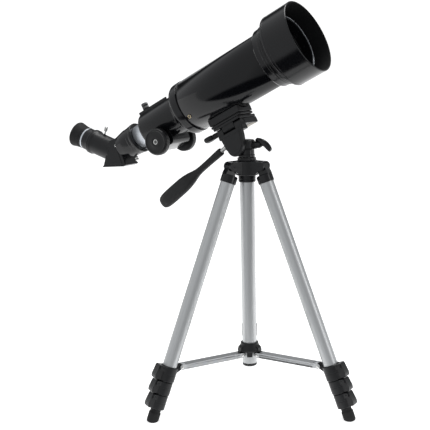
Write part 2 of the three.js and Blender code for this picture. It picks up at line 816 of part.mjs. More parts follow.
function focusKnob(side) {
  const { radius, stem, inner, disc, face, bottom } = KNOB;
  const bore = PINION.shaft + GAP;
  const body = turned([
    [bore, inner],
    [stem, inner],
    [stem, disc],
    [radius - 0.9, disc],
    [radius, disc + 0.9],
    [radius, face - 3],
    [radius - 1.8, face],
    [0, face],
    [0, bottom],
    [bore, bottom],
  ], KNOB_SIDES);
  return body.rotateX((side * -Math.PI) / 2).translate(PINION.x, 0, PINION.z);
}

function drawtube() {
  const { outer, inner, from, to } = DRAWTUBE;
  const tube = turnedBack([[0, from], [outer, from], [outer, to], [0, to]]);
  const rack = block(RACK.x, [-RACK.half, RACK.half], [RACK.low, -15]);
  return cut(joined(tube, rack), rod(inner, [-to - PAST, 0, 0], [-from + PAST, 0, 0], LARGE));
}

// The eyepiece side is built along +Z and then laid along the folded optical axis.
function folded(geometry) {
  return geometry.rotateY(-Math.PI / 4).translate(BEND_X, 0, 0);
}

function diagonalBody() {
  const { front, ring: radius, half } = DIAGONAL;
  const barrel = turnedBack([
    [0, front - 26.3],
    [NOSE, front - 26.3],
    [NOSE, front],
    [radius, front],
    [radius, front + 5],
    [radius - 0.8, front + 6.5],
    [radius - 1.8, front + 21],
    [radius - 4.4, front + 36],
    [0, front + 40],
  ]);
  const housing = plate([
    [-344, 15.6],
    [-356.7, 16.8],
    [-387, -14],
    [-349.8, -29.4],
    [-345.5, -29],
  ], [-half, half]);
  const holder = folded(turned([
    [0, 4],
    [17.2, 4],
    [17.4, 38],
    [19, 40.5],
    [19, 46.2],
    [18.2, 47.2],
    [0, 47.2],
  ]));
  const lightIn = rod(LIGHT_PATH, [BEND_X, 0, 0], [-front + 30, 0, 0], MEDIUM);
  const lightOut = folded(rod(LIGHT_PATH, [0, 0, -2], [0, 0, 60], MEDIUM));
  const barrelBore = folded(rod(NOSE + GAP, [0, 0, 15], [0, 0, 60], MEDIUM));
  const screwHole = SMALL_SCREW + GAP;
  const setHole = folded(rod(screwHole, [10, 0, SET_SCREW_ALONG], [30, 0, SET_SCREW_ALONG]));
  const clampHole = rod(screwHole, [CLAMP_X, 0, -30], [CLAMP_X, 0, -10]);
  return cut(joined(barrel, housing, holder), lightIn, lightOut, barrelBore, setHole, clampHole);
}

function eyepieceBody() {
  return folded(turned([
    [LIGHT_PATH, 15.5],
    [NOSE, 15.5],
    [NOSE, 47.5],
    [17, 47.5],
    [17, 60],
    [14.6, 60],
    [14.6, 63.6],
    [9.6, 63.6],
    [9.6, 57],
    [8.2, 57],
    [8.2, 54],
    [LIGHT_PATH, 50],
  ]));
}

function eyeLens() {
  return folded(turned([
    [0, 57.3],
    [9.3, 57.3],
    [9.3, 60.6],
    [5, 62],
    [0, 62.5],
  ]));
}

function eyecup() {
  return folded(turned([
    [14.9, 60.3],
    [17.2, 60.3],
    [17.4, 67],
    [19.4, 78.8],
    [19, 79.8],
    [18, 79.8],
    [16, 69],
    [14.9, 64.4],
  ]));
}

function telescope() {
  const lockScrew = thumbscrew(LOCK_SCREW, [18.8, 31, 41], 5).translate(LOCK_SCREW_X, 0, 0);
  const clampScrew = thumbscrew(SMALL_SCREW, [14.5, 22.4, 28.4], 2.8)
    .rotateX(Math.PI)
    .translate(CLAMP_X, 0, 0);
  const setScrew = thumbscrew(SMALL_SCREW, [16.8, 23, 30], 2.7)
    .rotateY(Math.PI / 2)
    .translate(0, 0, SET_SCREW_ALONG);
  return group(
    mesh('dew_shield', dewShield(), GLOSS_PLASTIC),
    mesh('lens_cell', lensCell(), GLOSS_PLASTIC),
    mesh('objective_lens', objectiveLens(), GLASS),
    mesh('main_tube', mainTube(), GLOSS_PAINT),
    mesh('focuser_body', focuserBody(), GLOSS_PLASTIC),
    mesh('finder_rail', finderRail(), BLACK_METAL),
    mesh('focus_lock_screw', lockScrew, BLACK_METAL),
    mesh('pinion_shaft', pinionShaft(), SILVER),
    mesh('focus_knob_near', focusKnob(-1), MATTE_PLASTIC),
    mesh('focus_knob_far', focusKnob(1), MATTE_PLASTIC),
    mesh('drawtube', drawtube(), CHROME),
    mesh('diagonal_body', diagonalBody(), GLOSS_PLASTIC),
    mesh('diagonal_clamp_screw', clampScrew, BLACK_METAL),
    mesh('eyepiece_body', eyepieceBody(), GLOSS_PLASTIC),
    mesh('eyecup', eyecup(), RUBBER),
    mesh('eye_lens', eyeLens(), GLASS),
    mesh('eyepiece_set_screw', folded(setScrew), CHROME),
  );
}

// Places a group built in telescope axes so its tilt hinge meets the pan head's.
function tipped(members) {
  const lifted = group(members);
  members.position.set(-TILT_AXIS.x, 0, -TILT_AXIS.z);
  lifted.rotation.y = -ELEVATION;
  lifted.position.set(0, 0, TILT_HEIGHT);
  return lifted;
}

// ---------------------------------------------------------------- whole object

const whole = group(
  ...Object.keys(LEG_AZIMUTHS).map(leg),
  centre(),
  panHead(),
  tipped(group(tiltHead(), telescope())),
);
const root = group(whole);
root.name = 'telescope_on_tripod';
root.updateMatrixWorld(true);
const box = new THREE.Box3().setFromObject(whole, true);
whole.position.set(-(box.min.x + box.max.x) / 2, -(box.min.y + box.max.y) / 2, -box.min.z);
root.updateMatrixWorld(true);

export default root;
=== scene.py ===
import json
import math

import bmesh
import bpy
from mathutils import Matrix, Vector


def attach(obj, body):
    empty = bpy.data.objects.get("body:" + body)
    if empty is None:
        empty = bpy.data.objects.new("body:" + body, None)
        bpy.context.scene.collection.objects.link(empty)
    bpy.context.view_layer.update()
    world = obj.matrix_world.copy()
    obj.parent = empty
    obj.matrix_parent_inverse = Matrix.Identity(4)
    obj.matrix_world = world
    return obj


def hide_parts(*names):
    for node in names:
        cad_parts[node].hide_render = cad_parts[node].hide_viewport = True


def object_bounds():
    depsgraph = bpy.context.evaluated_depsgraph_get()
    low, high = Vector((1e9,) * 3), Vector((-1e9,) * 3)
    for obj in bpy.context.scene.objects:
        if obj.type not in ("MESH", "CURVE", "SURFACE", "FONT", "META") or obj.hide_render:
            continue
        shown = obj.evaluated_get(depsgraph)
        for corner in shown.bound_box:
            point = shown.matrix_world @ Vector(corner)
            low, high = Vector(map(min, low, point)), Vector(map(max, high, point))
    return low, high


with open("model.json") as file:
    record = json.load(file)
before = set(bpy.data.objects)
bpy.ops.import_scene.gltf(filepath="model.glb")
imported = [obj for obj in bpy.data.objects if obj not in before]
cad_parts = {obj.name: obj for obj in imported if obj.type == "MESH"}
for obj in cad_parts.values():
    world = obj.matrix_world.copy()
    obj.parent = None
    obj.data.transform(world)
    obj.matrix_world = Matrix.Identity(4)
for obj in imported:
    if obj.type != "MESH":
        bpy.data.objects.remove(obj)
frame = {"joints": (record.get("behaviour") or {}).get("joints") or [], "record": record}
cad_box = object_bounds()

MM = 0.001
LARGE = 160  # sides of the telescope's rounds
MEDIUM = 96  # sides of the tripod's rounds
SMALL = 40  # sides of screws and pins
LEG_NAMES = ("near", "front", "far")
NEAR = -1
FAR = 1
UP = Vector((0, 0, 1))

JOINTS = {joint["name"]: joint for joint in frame["joints"]}
BODY_OF = {
    node: body
    for body, nodes in frame["record"]["behaviour"]["bodies"].items()
    for node in nodes
}


# ---------------------------------------------------------------- places

def axis_of(joint):
    return Vector(JOINTS[joint]["axis"]).normalized()


def place_of(joint):
    return Vector(JOINTS[joint]["pos_m"])


def frame_of(origin, x, y, z):
    return Matrix.Translation(origin) @ Matrix((x, y, z)).transposed().to_4x4()


def axes_at(origin, x, z):
    """A frame at origin with X along x and Z as near to z as it can be."""
    x = x.normalized()
    y = z.cross(x).normalized()
    return frame_of(origin, x, y, x.cross(y))


def shift(x, y, z):
    return Matrix.Translation((x, y, z))


def shift_mm(x, y, z):
    """A move in millimetres, for the place of a whole piece."""
    return shift(x * MM, y * MM, z * MM)


def spin(degrees, axis):
    return Matrix.Rotation(math.radians(degrees), 4, axis)


BACK = axis_of("focus_slide")  # towards the observer along the tube
DIAGONAL_FRONT = 311  # mm from the dew shield's edge to the diagonal
BEND = 364  # mm from the dew shield's edge to the diagonal's bend
# The next frame has X forward along the tube, Z up from the tube, and its origin at the dew shield's edge.
TELESCOPE = axes_at(
    place_of("diagonal_turn") - BACK * DIAGONAL_FRONT * MM, -BACK, axis_of("focus_lock_turn")
)
# The next frame has Z along the eyepiece and its origin at the diagonal's bend.
FOLDED = axes_at(
    TELESCOPE @ Vector((-BEND * MM, 0, 0)), axis_of("eyepiece_clamp_turn"), axis_of("eyepiece_slide")
)
HANDLE = axes_at(place_of("handle_twist"), -axis_of("handle_twist"), UP)
COLUMN = shift(*place_of("column_ring_turn").xy, 0)
LEG_TOP_RADIUS = 23.44  # from the column's axis, in millimetres
LEG_TOP_HEIGHT = 339.46
TO_BACK = spin(-90, "Y")  # turns +Z to the telescope's -X
TO_X = spin(90, "Y")  # turns +Z to +X
TO_Y = spin(-90, "X")  # turns +Z to +Y
TO_NEAR = spin(90, "X")  # turns +Z to -Y
SIDE_VIEW = TO_NEAR  # lays an XY outline in the XZ plane, thickness towards -Y
END_VIEW = Matrix(((0, 0, 1, 0), (1, 0, 0, 0), (0, 1, 0, 0), (0, 0, 0, 1)))  # YZ outline, thick along +X


def leg_axis(side):
    """The direction of a leg, downwards."""
    return axis_of(f"{side}_section_2_slide")


def leg_frame(side):
    """Z runs up the leg's axis and X points away from the column, from the top of the leg."""
    up = -leg_axis(side)
    outward = Vector((-up.x, -up.y, 0)).normalized()
    top = COLUMN.translation + outward * LEG_TOP_RADIUS * MM + UP * LEG_TOP_HEIGHT * MM
    across = up.cross(outward).normalized()
    return frame_of(top, across.cross(up), across, up)


LEGS = {side: leg_frame(side) for side in LEG_NAMES}
LEG_LEAN = math.acos(-leg_axis("near").z)
AZIMUTHS = {side: math.degrees(math.atan2(leg_axis(side).y, leg_axis(side).x)) for side in LEG_NAMES}


# ---------------------------------------------------------------- shapes, in millimetres

def arc(centre, radius, start, end, steps=12):
    angles = [math.radians(start + (end - start) * step / steps) for step in range(steps + 1)]
    return [
        (centre[0] + radius * math.cos(angle), centre[1] + radius * math.sin(angle)) for angle in angles
    ]


def rectangle(x, y):
    return [(x[0], y[0]), (x[1], y[0]), (x[1], y[1]), (x[0], y[1])]


def rounded(x, y, radius, steps=5):
    """A rectangle's outline with round corners."""
    corners = (
        (x[1] - radius, y[1] - radius, 0),
        (x[0] + radius, y[1] - radius, 90),
        (x[0] + radius, y[0] + radius, 180),
        (x[1] - radius, y[0] + radius, 270),
    )
    outline = []
    for across, along, start in corners:
        outline += arc((across, along), radius, start, start + 90, steps)
    return outline


def toothed(radius, depth, teeth, steps=4):
    """A circle with rounded ribs round its edge."""
    count = teeth * steps
    points = []
    for step in range(count):
        angle = 2 * math.pi * step / count
        reach = radius - depth * (0.5 - 0.5 * math.cos(teeth * angle))
        points.append((reach * math.cos(angle), reach * math.sin(angle)))
    return points


def spun(profile, sides=MEDIUM, place=Matrix()):
    """A solid turned about Z, from (radius, height) points that close on themselves or on the axis."""
    rings = []
    verts = []
    for radius, height in profile:
        if radius == 0:
            rings.append([len(verts)])
            verts.append((0, 0, height))
            continue
        rings.append(list(range(len(verts), len(verts) + sides)))
        for side in range(sides):
            angle = 2 * math.pi * side / sides
            verts.append((radius * math.cos(angle), radius * math.sin(angle), height))
    ends_on_axis = len(rings[0]) == 1 and len(rings[-1]) == 1
    following = rings[1:] if ends_on_axis else rings[1:] + rings[:1]
    faces = []
    for low, high in zip(rings, following):
        for side in range(sides):
            after = (side + 1) % sides
            corners = [
                low[side % len(low)],
                low[after % len(low)],
                high[after % len(high)],
                high[side % len(high)],
            ]
            face = list(dict.fromkeys(corners))
            if len(face) > 2:
                faces.append(face)
    return [place @ Vector(vert) for vert in verts], faces


def slab(outline, low, high, place=Matrix()):
    """An XY outline given a thickness from low to high."""
    count = len(outline)
    verts = [(x, y, z) for z in (low, high) for x, y in outline]
    faces = [list(range(count))[::-1], list(range(count, 2 * count))]
    for at in range(count):
        after = (at + 1) % count
        faces.append([at, after, count + after, count + at])
    return [place @ Vector(vert) for vert in verts], faces


def moved(shape, place):
    verts, faces = shape
    return [place @ vert for vert in verts], faces


def side_slab(outline, y):
    """An XZ outline with its thickness between two values of y."""
    return slab(outline, -y[1], -y[0], SIDE_VIEW)


def end_slab(outline, x):
    """A YZ outline with its thickness between two values of x."""
    return slab(outline, x[0], x[1], END_VIEW)


def ring(inner, outer, low, high, sides=MEDIUM, place=Matrix()):
    return spun([(inner, low), (outer, low), (outer, high), (inner, high)], sides, place)


def disc(radius, low, high, sides=SMALL, place=Matrix()):
    return spun([(0, low), (radius, low), (radius, high), (0, high)], sides, place)


def back(profile, sides=LARGE):
    """A turned solid on the telescope's axis, with heights read as distances behind its front."""
    return spun(profile, sides, TO_BACK)


def lofted(sections, sides, power):
    """A closed skin through (x, half height, half thickness) sections, squarer for a lower power."""
    verts = []
    for x, tall, thick in sections:
        for side in range(sides):
            angle = 2 * math.pi * side / sides
            across = math.copysign(abs(math.cos(angle)) ** power, math.cos(angle))
            upward = math.copysign(abs(math.sin(angle)) ** power, math.sin(angle))
            verts.append(Vector((x, thick * across, tall * upward)))
    faces = []
    for base in range(0, (len(sections) - 1) * sides, sides):
        for side in range(sides):
            after = (side + 1) % sides
            faces.append([base + side, base + after, base + sides + after, base + sides + side])
    faces.append(list(range(sides))[::-1])
    faces.append(list(range(len(verts) - sides, len(verts))))
    return verts, faces


def holed(shape, radius):
    """A slab about Z opened to a round hole."""
    verts, _ = shape
    count = len(verts) // 2
    low = verts[:count]
    high = verts[count:]
    inner = [Vector((vert.x, vert.y, 0)).normalized() * radius for vert in low]
    layers = [
        [Vector((point.x, point.y, low[0].z)) for point in inner],
        low,
        high,
        [Vector((point.x, point.y, high[0].z)) for point in inner],
    ]
    points = [point for layer in layers for point in layer]
    faces = []
    for layer in range(len(layers)):
        here = layer * count
        there = (layer + 1) % len(layers) * count
        for at in range(count):
            after = (at + 1) % count
            faces.append([here + at, here + after, there + after, there + at])
    return points, faces


# ---------------------------------------------------------------- pieces

BEVEL_STEPS = 3
BEVEL_ANGLE = 32  # degrees, above which an edge is rounded
INWARD = -0.3  # how far a face's normal leans towards the axis before it counts as inside


def added(name, data):
    """A new object in the scene."""
    obj = bpy.data.objects.new(name, data)
    bpy.context.scene.collection.objects.link(obj)
    return obj


def build_mesh(name, shapes):
    mesh = bpy.data.meshes.new(name)
    whole = bmesh.new()
    for verts, faces in shapes:
        made = [whole.verts.new(vert * MM) for vert in verts]
        for face in faces:
            whole.faces.new([made[corner] for corner in face])
    bmesh.ops.recalc_face_normals(whole, faces=whole.faces[:])
    whole.to_mesh(mesh)
    whole.free()
    mesh.shade_smooth()
    return mesh


def soften(obj, width):
    """Rounds a piece's sharp edges, to a width in millimetres."""
    bevel = obj.modifiers.new("edges", "BEVEL")
    bevel.width = width * MM
    bevel.segments = BEVEL_STEPS
    bevel.limit_method = "ANGLE"
    bevel.angle_limit = math.radians(BEVEL_ANGLE)
    bevel.harden_normals = True
    bevel.use_clamp_overlap = True


def piece(name, shapes, place, material, node, stands=False, bevel=0.4):
    """A mesh of closed shapes that rides with a CAD node's body, and stands for that node if asked."""
    obj = added(name, build_mesh(name, shapes))
    obj.data.materials.append(material)
    obj.matrix_world = place
    if bevel:
        soften(obj, bevel)
    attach(obj, BODY_OF[node])
    if stands:
        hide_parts(node)
    return obj


def skin(node, shapes, place, material, bevel=0.4):
    """The piece that stands for a CAD node."""
    return piece(f"{node}_skin", shapes, place, material, node, stands=True, bevel=bevel)


def line_inside(obj, material, axis):
    """Gives the faces that look towards the piece's own axis a second material."""
    obj.data.materials.append(material)
    for face in obj.data.polygons:
        outward = face.center.copy()
        outward[axis] = 0
        if outward.length > 0 and face.normal.dot(outward.normalized()) < INWARD:
            face.material_index = 1


# ---------------------------------------------------------------- materials

class Surface:
    """A Principled material with helpers for its procedural detail."""

    def __init__(self, name, color, metallic=0.0, **constants):
        self.material = bpy.data.materials.new(name)
        self.material.use_nodes = True
        self.nodes = self.material.node_tree.nodes
        self.links = self.material.node_tree.links
        self.shader = self.nodes["Principled BSDF"]
        self.color = color
        self.shader.inputs["Base Color"].default_value = (*color, 1)
        self.shader.inputs["Metallic"].default_value = metallic
        for socket, value in constants.items():
            self.shader.inputs[socket.replace("_", " ")].default_value = value
        self.coordinates = self.nodes.new("ShaderNodeTexCoord").outputs["Object"]
        self.height = None

    def mapped(self, stretch):
        mapping = self.nodes.new("ShaderNodeMapping")
        mapping.inputs["Scale"].default_value = stretch
        self.links.new(self.coordinates, mapping.inputs["Vector"])
        return mapping.outputs["Vector"]

    def noise(self, per_metre, stretch=(1, 1, 1), detail=3.0):
        node = self.nodes.new("ShaderNodeTexNoise")
        node.inputs["Scale"].default_value = per_metre
        node.inputs["Detail"].default_value = detail
        self.links.new(self.mapped(stretch), node.inputs["Vector"])
        return node.outputs["Fac"]

    def cells(self, per_metre):
        node = self.nodes.new("ShaderNodeTexVoronoi")
        node.inputs["Scale"].default_value = per_metre
        self.links.new(self.mapped((1, 1, 1)), node.inputs["Vector"])
        return node.outputs["Distance"]

    def bands(self, per_metre, direction, distortion):
        node = self.nodes.new("ShaderNodeTexWave")
        node.bands_direction = direction
        node.inputs["Scale"].default_value = per_metre
        node.inputs["Distortion"].default_value = distortion
        self.links.new(self.mapped((1, 1, 1)), node.inputs["Vector"])
        return node.outputs["Fac"]

    def ramp(self, value, low, high):
        node = self.nodes.new("ShaderNodeMapRange")
        node.inputs["To Min"].default_value = low
        node.inputs["To Max"].default_value = high
        self.links.new(value, node.inputs["Value"])
        return node.outputs["Result"]

    def rough(self, value, low, high):
        self.links.new(self.ramp(value, low, high), self.shader.inputs["Roughness"])
        return self

    def tint(self, value, low, high):
        """Colour between two multiples of the base colour."""
        mix = self.nodes.new("ShaderNodeMix")
        mix.data_type = "RGBA"
        mix.inputs["A"].default_value = (*[channel * low for channel in self.color], 1)
        mix.inputs["B"].default_value = (*[min(channel * high, 1) for channel in self.color], 1)
        self.links.new(value, mix.inputs["Factor"])
        self.links.new(mix.outputs["Result"], self.shader.inputs["Base Color"])
        return self

    def varied(self, tint, rough):
        """Colour and roughness by noise, each from the noise's scale and its two limits."""
        self.tint(self.noise(tint[0]), tint[1], tint[2])
        return self.rough(self.noise(rough[0]), rough[1], rough[2])

    def bump(self, value, depth_mm, strength):
        node = self.nodes.new("ShaderNodeBump")
        node.inputs["Distance"].default_value = depth_mm * MM
        node.inputs["Strength"].default_value = strength
        self.links.new(value, node.inputs["Height"])
        if self.height is not None:
            self.links.new(self.height, node.inputs["Normal"])
        self.height = node.outputs["Normal"]
        self.links.new(self.height, self.shader.inputs["Normal"])
        return self


def gloss_paint():
    """Sprayed gloss black with a faint orange peel."""
    surface = Surface("gloss_black_paint", (0.0035, 0.0038, 0.0048), Specular_IOR_Level=0.3)
    surface.varied(tint=(35, 0.8, 1.3), rough=(60, 0.09, 0.15))
    return surface.bump(surface.noise(260, detail=1.0), 0.012, 0.4).material


def gloss_plastic():
    """Polished black moulding with slight sink and haze."""
    surface = Surface("gloss_black_plastic", (0.0045, 0.0048, 0.0058), Specular_IOR_Level=0.36)
    surface.varied(tint=(45, 0.8, 1.3), rough=(90, 0.12, 0.22))
    return surface.bump(surface.noise(120, detail=1.0), 0.02, 0.5).material


def satin_plastic():
    """Black moulding with a fine spark-eroded grain."""
    surface = Surface("satin_black_plastic", (0.0065, 0.0068, 0.0078), Specular_IOR_Level=0.34)
    surface.varied(tint=(70, 0.75, 1.35), rough=(150, 0.30, 0.44))
    surface.bump(surface.noise(2600, detail=2.0), 0.02, 0.5)
    return surface.bump(surface.noise(90, detail=1.0), 0.05, 0.3).material


def grained_plastic():
    """Matte black grip with a leather-like grain."""
    surface = Surface("grained_black_plastic", (0.0085, 0.0088, 0.0095), Specular_IOR_Level=0.32)
    surface.varied(tint=(120, 0.7, 1.4), rough=(300, 0.48, 0.64))
    surface.bump(surface.cells(1300), 0.06, 0.6)
    return surface.bump(surface.noise(3000), 0.02, 0.5).material


def flat_black():
    """The dull black inside the tubes."""
    surface = Surface("flat_black_lining", (0.004, 0.004, 0.0045), Specular_IOR_Level=0.25)
    surface.varied(tint=(90, 0.7, 1.5), rough=(200, 0.55, 0.75))
    return surface.bump(surface.noise(1800), 0.03, 0.6).material


def rubber():
    surface = Surface("black_rubber", (0.008, 0.008, 0.0085), Specular_IOR_Level=0.3)
    surface.varied(tint=(100, 0.7, 1.5), rough=(160, 0.6, 0.8))
    return surface.bump(surface.noise(1500), 0.03, 0.6).material


def anodised():
    """Satin silver tube, drawn along Z."""
    surface = Surface("anodised_silver_tube", (0.50, 0.51, 0.515), 0.9)
    surface.tint(surface.noise(900, (1, 1, 0.015)), 0.93, 1.06)
    surface.rough(surface.noise(700, (1, 1, 0.02)), 0.34, 0.45)
    return surface.bump(surface.noise(1600, (1, 1, 0.01)), 0.006, 0.6).material


def rolled_silver():
    """Folded strip for the braces, rolled along X."""
    surface = Surface("rolled_silver_strip", (0.50, 0.51, 0.52), 0.9)
    surface.tint(surface.noise(900, (0.015, 1, 1)), 0.92, 1.06)
    surface.rough(surface.noise(700, (0.02, 1, 1)), 0.32, 0.42)
    return surface.bump(surface.noise(1500, (0.01, 1, 1)), 0.006, 0.6).material


def turned_silver():
    """Lathe-turned metal, whose fine lines run round X, the focus tube's axis."""
    surface = Surface("turned_silver", (0.60, 0.63, 0.67), 0.75)
    surface.tint(surface.noise(60), 0.94, 1.05)
    surface.rough(surface.noise(500, (1, 0.05, 0.05)), 0.28, 0.40)
    return surface.bump(surface.bands(380, "X", 0.4), 0.006, 0.6).material


def steel():
    surface = Surface("bright_steel", (0.68, 0.68, 0.67), 1.0)
    surface.varied(tint=(300, 0.85, 1.1), rough=(900, 0.16, 0.30))
    return surface.bump(surface.noise(2500), 0.004, 0.5).material


def brass():
    surface = Surface("brass_bush", (0.66, 0.55, 0.36), 1.0)
    surface.varied(tint=(400, 0.8, 1.15), rough=(900, 0.2, 0.36))
    return surface.bump(surface.noise(2500), 0.005, 0.5).material


def dark_metal():
    surface = Surface("blackened_metal", (0.11, 0.11, 0.112), 0.9)
    surface.varied(tint=(500, 0.6, 1.5), rough=(900, 0.30, 0.46))
    return surface.bump(surface.noise(2500), 0.008, 0.6).material


def pale_pad():
    """The insert in the underside of the tilt body's shelf."""
    surface = Surface("pale_pad", (0.50, 0.47, 0.42), Specular_IOR_Level=0.3)
    surface.varied(tint=(600, 0.6, 1.15), rough=(800, 0.65, 0.85))
    return surface.bump(surface.cells(900), 0.05, 0.6).material


def glass():
    """Coated lens glass with a trace of haze."""
    surface = Surface("coated_glass", (0.80, 0.88, 0.97), Transmission_Weight=1.0, IOR=1.52)
    return surface.varied(tint=(30, 0.96, 1.02), rough=(400, 0, 0.03)).material


PAINT = gloss_paint()
GLOSS = gloss_plastic()
SATIN = satin_plastic()
GRIP = grained_plastic()
LINING = flat_black()
RUBBER = rubber()
SILVER = anodised()
STRIP = rolled_silver()
TURNED = turned_silver()
STEEL = steel()
BRASS = brass()
DARK = dark_metal()
PAD = pale_pad()
GLASS = glass()


# ---------------------------------------------------------------- small fittings

def cross_screw(name, place, radius, node, material=STEEL):
    """A domed screw head standing on the XY plane of its place, with flat black slabs on top that paint the
    shade of its cross slot.
    """
    dome = [(0, 0), (radius, 0), (radius, 0.25 * radius), (0.7 * radius, 0.5 * radius), (0, 0.6 * radius)]
    piece(name, [spun(dome, SMALL)], place, material, node, bevel=0.12)
    length = (-0.62 * radius, 0.62 * radius)
    width = (-0.14 * radius, 0.14 * radius)
    # The cross slot is not cut: two flat black slabs on the dome are painted shade where the slot would be.
    shade_slabs = [
        slab(rounded(x, y, 0.9 * width[1], 3), 0.42 * radius, 0.62 * radius)
        for x, y in ((length, width), (width, length))
    ]
    piece(f"{name}_painted_cross_shade", shade_slabs, place, LINING, node, bevel=0)


def knurled_head(radius, low, high, teeth):
    """Shapes of a ribbed screw head with a groove round its middle and a step at each end."""
    ribs = toothed(radius, 0.45, teeth)
    middle = (low + high) / 2
    groove_half = 0.35
    low_step = 0.5
    high_step = 0.6
    return [
        slab(ribs, low + low_step, middle - groove_half),
        slab(ribs, middle + groove_half, high - high_step),
        disc(radius - high_step, low, high),
    ]


def rivet(name, at, half, node, place, material=STEEL):
    """The two domed heads of a pin along Y, through a point in XZ."""
    head = [(0, half), (2.3, half), (2.2, half + 0.5), (1.3, half + 1.0), (0, half + 1.15)]
    shapes = [spun(head, SMALL, shift(at[0], 0, at[1]) @ turn) for turn in (TO_Y, TO_NEAR)]
    piece(name, shapes, place, material, node, bevel=0)


# ---------------------------------------------------------------- telescope

PINION_X = -262.4
PINION_Z = -27.2
TUBE_END = 203.2  # this and the next are distances behind the dew shield's edge
CELL_FRONT = 34


def dew_shield():
    profile = [
        (49, 0.3), (49.4, 0), (50.4, 0), (51, 0.7), (51, 37.2), (50.75, 37.5), (50.75, 38.1), (51, 38.4),
        (51, 40.6), (50.6, 41.5), (49.6, 42), (40.6, 42), (40.6, 40.4), (49, 40.4),
    ]
    shell = skin("dew_shield", [back(profile)], TELESCOPE, GLOSS, 0.25)
    line_inside(shell, LINING, 0)


def lens_cell():
    profile = [
        (35, 34.6), (35.6, CELL_FRONT), (39.7, CELL_FRONT), (40.3, 34.6), (40.3, 42.3), (43.4, 42.3),
        (44, 43), (44, 46), (43.55, 46.3), (43.55, 46.9), (43.8, 47.2), (43.8, 49.6), (43.35, 49.9),
        (43.35, 50.5), (43.6, 50.8), (43.4, 53), (42.5, 53.6), (42.2, 60.6), (41.2, 62), (36.9, 62),
        (36.9, 70), (34.5, 70), (34.5, 58), (36, 58), (36, 46), (35, 46),
    ]
    shell = skin("lens_cell", [back(profile)], TELESCOPE, GLOSS, 0.2)
    line_inside(shell, LINING, 0)
    starts = [34.8 + 1.1 * turn for turn in range(4)]
    threads = [ring(40.31, 41.05, start, start + 0.5, LARGE, TO_BACK) for start in starts]
    piece("lens_cell_threads", threads, TELESCOPE, GLOSS, "lens_cell", bevel=0)
    lens_retainer()


def lens_retainer():
    """The ring in front of the lens, with a silver front rim that paints on a highlight along its edge."""
    rim_front = 20
    rim_back = 20.6
    retainer = ring(37.4, 40.2, rim_back, CELL_FRONT, LARGE, TO_BACK)
    piece("lens_retainer", [retainer], TELESCOPE, GLOSS, "lens_cell", bevel=0.2)
    # The front rim is turned silver only to paint on the highlight of the black ring's edge.
    rim = ring(39.5, 40.3, rim_front, rim_back, LARGE, TO_BACK)
    piece("lens_retainer_highlight_rim", [rim], TELESCOPE, TURNED, "lens_cell", bevel=0.15)


def objective_lens():
    """One element with two convex faces."""
    edge = 35.7
    front_middle = 46
    front_bulge = 3
    rear_middle = 57.6
    rear_bulge = 1.1
    front = [
        (radius, front_middle + front_bulge * (radius / edge) ** 2) for radius in (0, 8, 16, 24, 30, edge)
    ]
    rear = [(radius, rear_middle - rear_bulge * (radius / edge) ** 2) for radius in (edge, 24, 12, 0)]
    skin("objective_lens", [back(front + rear)], TELESCOPE, GLASS, 0)


def main_tube():
    profile = [
        (37.2, 62.3), (38.1, 62.3), (38.4, 62.6), (38.4, TUBE_END - 0.3), (38.1, TUBE_END), (37.2, TUBE_END),
    ]
    shell = skin("main_tube", [back(profile)], TELESCOPE, PAINT, 0)
    line_inside(shell, LINING, 0)
    stops = ((31, 95), (27, 130), (23, 165))
    baffles = [ring(inner, 37.1, at, at + 0.8, MEDIUM, TO_BACK) for inner, at in stops]
    piece("main_tube_baffles", baffles, TELESCOPE, LINING, "main_tube", bevel=0)


def focuser_body():
    profile = [
        (35.2, 190), (36.9, 190), (36.9, 203.5), (38.6, 203.5), (39, 203.9), (39, 212.4), (38.7, 214.6),
        (37.8, 216.6), (35.4, 218.7), (31.6, 220.6), (29.2, 222), (28.2, 224), (28, 226.5), (28, 286.4),
        (27.4, 288.4), (26.2, 289.6), (24.6, 290), (18.0, 290), (18.0, 223), (35.2, 211),
    ]
    housing = side_slab(rounded((-282, -244), (-37.6, -16), 7), (-21.4, 21.4))
    skirt = side_slab(rounded((-288, -232), (-27.8, -10), 5), (-14, 14))
    bosses = [disc(12.5, 18, 21.5, MEDIUM, shift(PINION_X, 0, -26) @ turn) for turn in (TO_Y, TO_NEAR)]
    skin("focuser_body", [back(profile), housing, skirt, *bosses], TELESCOPE, GLOSS, 0.5)
    face = ring(18.0, 22.6, 289.4, 290, LARGE, TO_BACK)
    piece("focuser_rear_ring", [face], TELESCOPE, SATIN, "focuser_body", bevel=0.25)
    ring_screws()


def ring_screws():
    """Three brass bushes with socket screws that hold the rear casting in the tube."""
    for number, turn in enumerate((0, 120, 240)):
        place = TELESCOPE @ spin(turn, "X") @ shift_mm(-196.5, 0, 38.35)
        bush = ring(1.55, 2.7, -1, 0.55, SMALL)
        piece(f"tube_bush_{number}", [bush], place, BRASS, "main_tube", bevel=0.25)
        piece(f"tube_screw_{number}", [disc(1.52, -1, 0.1, SMALL)], place, DARK, "main_tube", bevel=0.1)


def finder_rail():
    outline = [
        (-9, 25.8), (9, 25.8), (9, 30), (5.6, 30), (7.2, 27.4), (-7.2, 27.4), (-5.6, 30), (-9, 30),
    ]
    skin("finder_rail", [end_slab(outline, (-290.5, -236))], TELESCOPE, SATIN, 0.35)
    for number, x in enumerate((-252, -243)):
        place = TELESCOPE @ shift_mm(x, 0, 27.4)
        cross_screw(f"finder_rail_screw_{number}", place, 2.0, "finder_rail", DARK)


def focus_lock_screw():
    shapes = [disc(2, 18.8, 32), disc(3.4, 29.6, 31.4), *knurled_head(5, 31, 41, 24)]
    skin("focus_lock_screw", shapes, TELESCOPE @ shift_mm(-281, 0, 0), DARK, 0)


